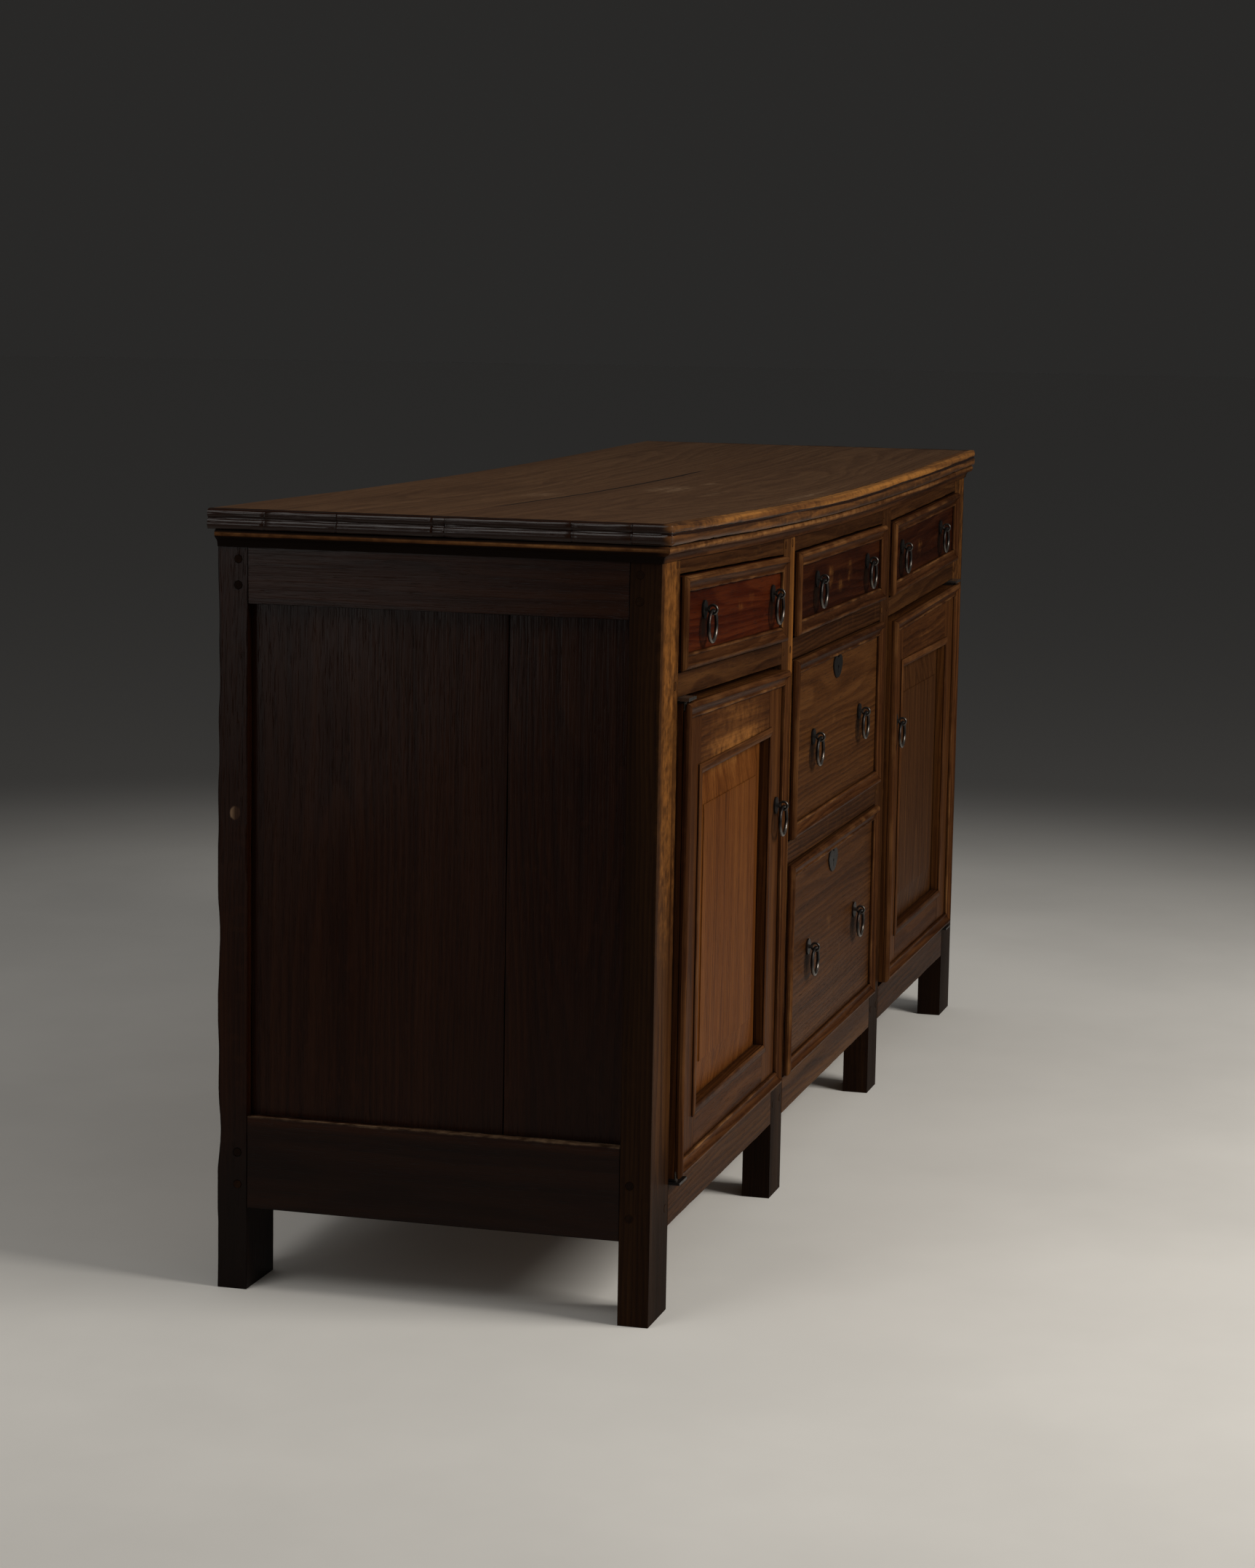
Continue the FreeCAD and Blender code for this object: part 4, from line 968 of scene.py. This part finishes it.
    def round_corner(self, place: Vector) -> Vector:
        """Bring what lies outside the round of a front corner back to it.

        Args:
            place: A place on the nosing.

        Returns:
            How far it moves.
        """
        side = math.copysign(1.0, place.x)
        inset = self.outer_end - self.corner_round
        away = Vector((place.x - side * inset, place.y - self.outer_front - self.corner_round, 0.0))
        if away.x * side <= 0.0 or away.y >= 0.0 or away.length <= self.corner_round:
            return Vector()
        return away.normalized() * (self.corner_round - away.length)

    def depth_at(self, place: Vector) -> float:
        """Depth of a place under the top's upper face."""
        return self.height - self.sunk(place) - place.z

    def on_end(self, place: Vector) -> float:
        """Share by which a place lies on the end lengths of the mouldings."""
        past_end = self.PAST_END.at(abs(place.x) - self.half_length)
        return past_end * self.BEHIND_FRONT.at(place.y - self.front)

    def joint_soil(self, place: Vector) -> float:
        """Dirt in the joint of the boards, where it has opened."""
        along = self.JOINT_LEFT.at(place.x) * self.JOINT_RIGHT.at(place.x)
        return along * self.JOINT_DIRT.at(abs(place.y - self.joint))

    def nosing_wear_and_light(self, place: Vector) -> float:
        """Wear and painted light along the front edge, most on the lip's upper face and less near the left
        corner, and pale chips beside the splits.
        """
        front = self.FRONT_FACE.at(place.y - self.front) * self.LIP_WEAR_AND_LIGHT.at(self.depth_at(place) - self.lip)
        return max(front * self.WEAR_AND_LIGHT_ALONG.at(place.x), self.CHIP_WEAR.at(self.from_split(place)))

    def nosing_soil_and_shade(self, place: Vector) -> float:
        """Dark wax and painted shade on the ends, dirt and painted shade in the quirk under the lip, and
        dirt in the splits.
        """
        quirk = self.QUIRK_DIRT_AND_SHADE.at(abs(self.depth_at(place) - self.lip))
        return max(self.END_WAX_AND_SHADE * self.on_end(place), quirk, self.SPLIT_DIRT * self.in_split(place))

    def cornice_wear_and_highlight(self, place: Vector) -> float:
        """Wear on the bead of the cornice; at the ends only on its crest, where the worn line is also a
        painted highlight.
        """
        bead = self.BEAD_WEAR.at(self.depth_at(place) - self.bead_end)
        return max(bead * (1.0 - self.on_end(place)), self.CREST_WEAR_AND_HIGHLIGHT * self.on_crest(place))

    def on_crest(self, place: Vector) -> float:
        """Share by which a place lies on the crest of the cornice's bead."""
        return self.CREST.at(abs(self.depth_at(place) - self.bead_end + self.bead_crest))

    def cornice_soil_and_shade(self, place: Vector) -> float:
        """Painted shade in the hollow of the cornice, and dirt and painted shade at the ends beside the
        crest of its bead too.

        Args:
            place: A place on the cornice.

        Returns:
            The strength of the dirt and painted shade.
        """
        on_end = self.on_end(place)
        hollow = self.HOLLOW_SHADE.at(self.depth_at(place) - self.bead_end)
        hollow *= self.FRONT_HOLLOW + (1.0 - self.FRONT_HOLLOW) * on_end
        return max(hollow, self.BEAD_DIRT_AND_SHADE * on_end * (1.0 - self.on_crest(place)))


@dataclass
class Carcase:
    """The frame of stiles and rails, the panelled ends and what lies inside."""

    # A pale knock on the left rear stile
    scuff: Zone = Zone(Vector((-0.89, 0.232, 0.527)), (0.02, 0.008, 0.011), 2.4)
    rail_top: float = 0.194  # height of the top of the lower end rails
    bright_edge: float = -0.269  # place of the brightest edge of the inner stiles
    ragged: float = 0.006  # most that the outer edges of the rear stiles have lost
    peg_sunk: float = 0.0005  # how far the pegs have worn down towards the faces round them
    half_length: float = field(init=False)  # half the length of the carcase
    front: float = field(init=False)  # place of its front face
    rear: float = field(init=False)  # place of its rear face

    SCUFF_STEP = 0.003  # distance between the cuts about the scuff
    RAGS_PER_METRE = 14.0
    RAG_LEVEL = 0.1  # share of the most that is lost on the average
    RAG_SWING = 0.8  # share that comes and goes about it
    # How the marks fade with the height, along the front or away from what they are named for
    FOOT_DIRT = Fade(0.30, 0.08, 0.72)
    # Painted shade on the stiles' faces that turn to the unlit ends
    END_SIDE_SHADE = Fade(-0.0022, -0.0002, 0.75)
    FRONT_FACE = Fade(0.002, 0.0)
    OUTER_STILES = Fade(0.75, 0.80)
    OUTER_WEAR = Fade(0.15, 0.55, 0.48)
    INNER_EDGE = Fade(0.030, 0.012)
    INNER_WEAR = Fade(0.20, 0.30, 0.95)
    RAIL_WEAR = Fade(0.0035, 0.0010, 0.5)
    RAIL_DIRT = Fade(-0.004, -0.012, 0.48)
    UPPER_PIVOTS = Fade(0.3, 0.5)
    REAR_EDGE = Fade(0.004, 0.0)
    OUTER_EDGE = Fade(0.03, 0.0)

    def __post_init__(self) -> None:
        """Take the faces of the carcase from the frame."""
        self.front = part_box("front_left_stile")[0].y
        rear_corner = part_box("rear_stiles")[1]
        self.half_length, self.rear = rear_corner.x, rear_corner.y

    def build(self) -> Pieces:
        """Make every piece of the carcase.

        Returns:
            The pieces.
        """
        rail_levels = (self.RAIL_DIRT.least_at, self.RAIL_DIRT.most_at)
        rail_cuts = cuts_across(2, [self.rail_top + level for level in rail_levels])
        scuff_cuts = cuts_across(2, [self.scuff.centre.z + step * self.SCUFF_STEP for step in range(-4, 5)])
        scuff_cuts += cuts_across(1, [self.scuff.centre.y + step * self.SCUFF_STEP for step in range(-3, 4)])
        pieces = [
            *(WornPiece(node, FRAME_OAK, soften=0.0024, spacing=0.015, chip=0.002, soil=self.stile_soil_and_shade,
                        rub=self.stile_wear)
              for node in ("front_left_stile", "front_right_stile")),
            WornPiece("inner_stiles", FRAME_OAK, soften=0.0022, spacing=0.015, chip=0.002,
                      soil=self.foot_soil, rub=self.stile_wear),
            *(WornPiece(node, FRAME_OAK, soften=0.0014, spacing=0.02)
              for node in ("front_top_rails", "front_drawer_rails", "front_bottom_rails")),
            WornPiece("end_rails", SHADED_END_OAK, soften=0.0018, spacing=0.02, warp=0.0009, rub=self.rail_wear,
                      soil=self.rail_soil, extra_cuts=rail_cuts),
            WornPiece("end_panels", SHADED_END_OAK, soften=0.0007, spacing=0.03, warp=0.0010),
            WornPiece("rear_stiles", SHADED_END_OAK, soften=0.0028, spacing=0.015, warp=0.001, chip=0.003,
                      rub=self.scuff.at, soil=self.foot_soil, shift=self.ragged_edge,
                      extra_cuts=scuff_cuts),
            WornPiece("joint_pegs", FRAME_OAK, soften=0.0003, spacing=1.0, warp=0.0, chip=0.0,
                      soil=self.stile_soil_and_shade, shift=self.sink_pegs),
            *(inner_piece(node)
              for node in ("back_rails", "back_boards", "partitions", "floor_boards", "drawer_runners")),
            iron_piece("door_pivots", self.upper_pivots),
        ]
        return [piece.build() for piece in pieces]

    def foot_soil(self, place: Vector) -> float:
        """Dirt that gathers at the floor."""
        return self.FOOT_DIRT.at(place.z)

    def stile_soil_and_shade(self, place: Vector) -> float:
        """Dirt at the floor, and painted shade on the faces that lie in the planes of the unlit ends."""
        return max(self.END_SIDE_SHADE.at(abs(place.x) - self.half_length), self.foot_soil(place))

    def stile_wear(self, place: Vector) -> float:
        """Golden wear on the fronts of the outer stiles and on the bright edge of the left inner one."""
        wear = max(self.OUTER_STILES.at(abs(place.x)) * self.OUTER_WEAR.at(place.z),
                   self.INNER_EDGE.at(abs(place.x - self.bright_edge)) * self.INNER_WEAR.at(place.z))
        return wear * self.FRONT_FACE.at(place.y - self.front)

    def rail_wear(self, place: Vector) -> float:
        """Pale wear along the top of the lower end rails."""
        return self.RAIL_WEAR.at(abs(place.z - self.rail_top))

    def rail_soil(self, place: Vector) -> float:
        """Dirt on the lower end rails, under their worn top edges."""
        return self.RAIL_DIRT.at(place.z - self.rail_top)

    def upper_pivots(self, place: Vector) -> float:
        """Mark the upper pivots, which are bare iron."""
        return self.UPPER_PIVOTS.at(place.z)

    def ragged_edge(self, place: Vector) -> Vector:
        """Eat into the outer rear edges of the rear stiles.

        Args:
            place: A place on a stile.

        Returns:
            How far it moves.
        """
        near_edge = self.REAR_EDGE.at(self.rear - place.y)
        near_edge *= self.OUTER_EDGE.at(self.half_length - abs(place.x))
        swing = noise.noise(Vector((place.x, 0.0, place.z * self.RAGS_PER_METRE)))
        eaten = max(0.0, swing * self.RAG_SWING + self.RAG_LEVEL)
        return Vector((0.0, -self.ragged * near_edge * eaten, 0.0))

    def sink_pegs(self, place: Vector) -> Vector:
        """Wear the heads of the pegs down.

        Args:
            place: A place on a peg.

        Returns:
            How far it moves.
        """
        if abs(place.x) > self.half_length:
            return Vector((-math.copysign(self.peg_sunk, place.x), 0.0, 0.0))
        return Vector((0.0, self.peg_sunk, 0.0)) if place.y < self.front else Vector()


def middle_of(node: str) -> Vector:
    """Give the middle of a CAD node's box."""
    low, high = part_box(node)
    return (low + high) / 2


@dataclass
class RingPull:
    """One iron ring, forged round and thinner where it hangs in its staple."""

    node: str  # the CAD node of the ring
    wire: float = 0.0022  # radius of the iron
    thinning: float = 0.16  # share of the iron that is worn away at the top
    hammering: float = 0.05  # share of the iron by which it is uneven
    turns: int = 72  # steps round the ring
    sides: int = 14  # steps round the iron

    BLOWS = 4.0  # hammer marks per radius of the ring
    # How far up the ring, from -1 to 1, it is thinned and handled
    AT_STAPLE = Fade(0.7, 1.0)
    HANDLED = Fade(0.2, -0.8)

    def build(self) -> Object:
        """Make the ring.

        Returns:
            The ring.
        """
        work = marked_mesh()
        loops = [self._loop(work, math.tau * turn / self.turns) for turn in range(self.turns)]
        for here, there in zip(loops, loops[1:] + loops[:1]):
            for side in range(self.sides):
                after = (side + 1) % self.sides
                work.faces.new((here[side], here[after], there[after], there[side])).smooth = True
        bmesh.ops.recalc_face_normals(work, faces=work.faces[:])
        return dress(work, f"forged_{self.node}", self.node, IRON)

    def _loop(self, work: BMesh, angle: float) -> list[BMVert]:
        """Make one loop of points round the iron.

        Args:
            work: The mesh.
            angle: Turn of the loop about the ring, from its top.

        Returns:
            The points of the loop.
        """
        low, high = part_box(self.node)
        radius = (high.z - low.z) / 2 - self.wire
        grain, rub = layer_of(work, Mark.GRAIN), layer_of(work, Mark.RUB_AND_LIGHT)
        outward = Vector((math.sin(angle), 0.0, math.cos(angle)))
        loop = []
        for side in range(self.sides):
            around = math.tau * side / self.sides
            spoke = outward * math.cos(around) + Vector((0.0, math.sin(around), 0.0))
            blow = noise.noise(Vector((outward.x * self.BLOWS, around, outward.z * self.BLOWS)))
            thick = self.wire * (1.0 - self.hammering + self.hammering * blow)
            thick *= 1.0 - self.thinning * self.AT_STAPLE.at(outward.z)
            vert = work.verts.new((low + high) / 2 + outward * radius + spoke * thick)
            vert[grain] = vert.co
            vert[rub] = self.HANDLED.at(outward.z)
            loop.append(vert)
        return loop


@dataclass
class Drawer:
    """One drawer with its moulding, box, ironwork and two rings."""

    name: str  # start of the names of its nodes
    finish: OakFinish  # finish of its front
    # Worn patches of its front: place along it from its middle, rise over the rings, strength
    patches: tuple[Triple, ...]
    patch_reach: Triple = (0.042, 0.05, 0.032)  # how far a worn patch goes along each axis
    stain_and_shadow: float = 1.1  # strength of the stain and painted ring shadow behind a ring
    stain_and_shadow_reach: Triple = (0.028, 0.05, 0.042)  # how far that stain and shadow go along each axis

    def build(self) -> Pieces:
        """Make every piece of the drawer.

        Returns:
            The pieces.
        """
        rings = [f"{self.name}_{side}_ring" for side in ("left", "right")]
        front = middle_of(f"{self.name}_front")
        height = middle_of(rings[0]).z
        worn = [Zone(Vector((front.x + along, front.y, height + rise)), self.patch_reach, strength)
                for along, rise, strength in self.patches]
        # The stains behind the rings also hold the rings' painted shadows
        stains_and_shadows = [Zone(middle_of(ring), self.stain_and_shadow_reach, self.stain_and_shadow) for ring in rings]
        pieces = [
            WornPiece(f"{self.name}_front", self.finish, soften=0.001, spacing=0.012, rub=strongest(worn),
                      soil=strongest(stains_and_shadows)),
            moulding_piece(f"{self.name}_moulding"),
            inner_piece(f"{self.name}_box"),
            iron_piece(f"{self.name}_ironwork"),
            *(RingPull(ring) for ring in rings),
        ]
        return [piece.build() for piece in pieces]


@dataclass
class Door:
    """One panelled door with its mouldings, ironwork and ring."""

    name: str  # start of the names of its nodes
    panel: OakFinish  # finish of its panel
    head_wear_and_sheen: float  # strength of the golden wear and painted sheen on its head
    head_drop: float = 0.06  # depth of the middle of that wear and sheen under the door's top
    head_reach: Triple = (0.30, 0.06, 0.10)  # how far that wear and sheen go along each axis
    stain_and_shadow: float = 0.9  # strength of the stain and painted ring shadow behind the ring
    stain_and_shadow_reach: Triple = (0.026, 0.05, 0.045)  # how far that stain and shadow go along each axis

    def build(self) -> Pieces:
        """Make every piece of the door.

        Returns:
            The pieces.
        """
        # The stain behind the ring also holds its painted shadow
        stain_and_shadow = Zone(middle_of(f"{self.name}_ring"), self.stain_and_shadow_reach, self.stain_and_shadow)
        low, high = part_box(f"{self.name}_frame")
        # Golden wear on the head, with painted sheen
        head_middle = Vector(((low.x + high.x) / 2, low.y, high.z - self.head_drop))
        head = Zone(head_middle, self.head_reach, self.head_wear_and_sheen)
        pieces = [
            WornPiece(f"{self.name}_frame", DOOR_FRAME_OAK, soften=0.0012, spacing=0.02, soil=stain_and_shadow.at,
                      rub=head.at),
            WornPiece(f"{self.name}_panel", self.panel, soften=0.0006, spacing=0.02, rub=head.at),
            moulding_piece(f"{self.name}_moulding"),
            iron_piece(f"{self.name}_ironwork"),
            RingPull(f"{self.name}_ring"),
        ]
        return [piece.build() for piece in pieces]


# The studio


@dataclass(frozen=True)
class Lamp:
    """A square soft lamp."""

    name: str
    place: Triple  # where it hangs
    target: Triple  # what it is aimed at
    size: float  # length of its side
    power: float  # its power in watts
    colour: Triple = (1.0, 0.96, 0.9)

    def build(self) -> Object:
        """Hang the lamp.

        Returns:
            The lamp.
        """
        data = bpy.data.lights.new(self.name, "AREA")
        data.energy = self.power
        data.size = self.size
        data.color = self.colour
        lamp = bpy.data.objects.new(self.name, data)
        lamp.location = self.place
        aim = Vector(self.target) - Vector(self.place)
        lamp.rotation_euler = aim.to_track_quat("-Z", "Y").to_euler()
        bpy.context.scene.collection.objects.link(lamp)
        return lamp


@dataclass
class Studio:
    """Pale floor, soft light and the camera."""

    floor_radius: float = 40.0  # radius of the floor
    floor_colour: Colour = (0.56, 0.545, 0.515, 1.0)  # colour of the floor round the piece
    floor_shade: float = 0.9  # share of that colour in the floor's cloudy patches
    far_floor: Colour = (0.085, 0.083, 0.079, 1.0)  # colour of the floor far off
    floor_reach: tuple[float, float] = (1.2, 3.4)  # distances over which the one turns into the other
    backdrop: Colour = (0.0220, 0.0214, 0.0204, 1.0)  # colour of what lies beyond the floor
    daylight: float = 0.28  # strength of the light from all round
    day_colour: Colour = (1.0, 0.985, 0.96, 1.0)  # colour of that light
    lamps: tuple[Lamp, ...] = (
        Lamp("key", (-0.8, -3.0, 2.3), (-0.2, -0.2, 0.45), 1.6, 130.0),
        Lamp("sheen", (-5.5, 2.1, 0.65), (-0.9, 0.1, 0.6), 1.0, 13.0, (1.0, 0.98, 0.95)),
        Lamp("rim", (-2.9, 1.0, 3.2), (-0.9, 0.0, 0.85), 1.4, 25.0, (1.0, 0.98, 0.95)),
    )
    camera_place: Triple = (-4.4019, -1.1620, 1.1051)  # where the camera stands
    camera_turn: Triple = (-74.751, 8.1735, 1.002)  # its azimuth, elevation and roll in degrees
    lens: float = 81.17  # its focal length in millimetres

    FLOOR_ROUGHNESS = 0.85

    def build(self) -> Pieces:
        """Set the stage.

        Returns:
            The floor, the camera and the lamps.
        """
        bpy.context.scene.view_settings.view_transform = "Standard"
        self._light_world()
        return [self._floor(), self._camera()] + [lamp.build() for lamp in self.lamps]

    def _floor(self) -> Object:
        """Lay a wide floor.

        Returns:
            The floor.
        """
        bpy.ops.mesh.primitive_circle_add(vertices=96, radius=self.floor_radius, fill_type="NGON")
        floor = bpy.context.object
        floor.name = "studio_floor"
        nodes = Nodes(bpy.data.materials.new("pale_floor"))
        place = nodes.node("ShaderNodeTexCoord", output="Object")
        cloud = nodes.noise(place, 1.3, 5.0, 0.6).smooth(0.3, 0.7)
        shade = tuple(self.floor_shade * part for part in self.floor_colour[:3]) + (1.0,)
        colour = nodes.mix(cloud, shade, self.floor_colour)
        colour = nodes.mix(nodes.length(place).smooth(*self.floor_reach), colour, self.far_floor)
        floor.data.materials.append(nodes.surface({"Base Color": colour, "Roughness": self.FLOOR_ROUGHNESS}))
        return floor

    def _light_world(self) -> None:
        """Light the scene evenly from all round and show a plain backdrop."""
        world = bpy.data.worlds.new("studio")
        nodes = Nodes(world)
        light, seen = (nodes.node("ShaderNodeBackground", inputs={"Color": colour, "Strength": strength})
                       for colour, strength in ((self.day_colour, self.daylight), (self.backdrop, 1.0)))
        rays = [nodes.node("ShaderNodeLightPath", output=f"Is {kind} Ray")
                for kind in ("Camera", "Glossy", "Transmission")]
        direct = rays[0].at_least(rays[1]).at_least(rays[2])
        both = nodes.node("ShaderNodeMixShader", inputs={0: direct, 1: light, 2: seen})
        nodes.node("ShaderNodeOutputWorld", inputs={"Surface": both})
        bpy.context.scene.world = world

    def _camera(self) -> Object:
        """Stand the camera where the photograph was taken from.

        Returns:
            The camera.
        """
        azimuth, elevation, roll = (math.radians(turn) for turn in self.camera_turn)
        stand = Matrix.Translation(self.camera_place)
        for angle, axis in ((azimuth, "Z"), (math.pi / 2 - elevation, "X"), (roll, "Z")):
            stand = stand @ Matrix.Rotation(angle, 4, axis)
        data = bpy.data.cameras.new("camera")
        data.lens = self.lens
        camera = bpy.data.objects.new("camera", data)
        camera.matrix_world = stand
        bpy.context.scene.collection.objects.link(camera)
        bpy.context.scene.camera = camera
        return camera


def write_size() -> None:
    """Update the view layer."""
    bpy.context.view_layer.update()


def main() -> None:
    """Build the dresser base and the studio, and report each piece."""
    logging.basicConfig(level=logging.INFO, format="%(message)s")
    deep_patches = ((-0.02, 0.03, 0.5), (0.05, -0.02, 0.45))
    assemblies: list[Assembly] = [
        Top(),
        Carcase(),
        Drawer("left_drawer", DRAWER_OAK,
               ((0.03, 0.005, 0.45), (0.08, 0.012, 0.45), (-0.10, -0.01, 0.35))),
        Drawer("centre_drawer", DARK_DRAWER_OAK,
               ((-0.06, 0.014, 0.65), (0.0, 0.0, 0.55), (0.055, 0.012, 0.6))),
        Drawer("right_drawer", DARK_DRAWER_OAK,
               ((-0.03, 0.006, 0.65), (-0.09, 0.0, 0.45), (0.06, 0.0, 0.4))),
        Drawer("upper_deep_drawer", DEEP_OAK, deep_patches),
        Drawer("lower_deep_drawer", DEEP_OAK, deep_patches),
        Door("left_door", DOOR_OAK, 0.65),
        Door("right_door", SHADED_DOOR_OAK, 0.35),
        Studio(),
    ]
    for assembly in assemblies:
        for piece in assembly.build():
            LOG.info("built %s", piece.name)
    write_size()


if __name__ == "__main__":
    main()
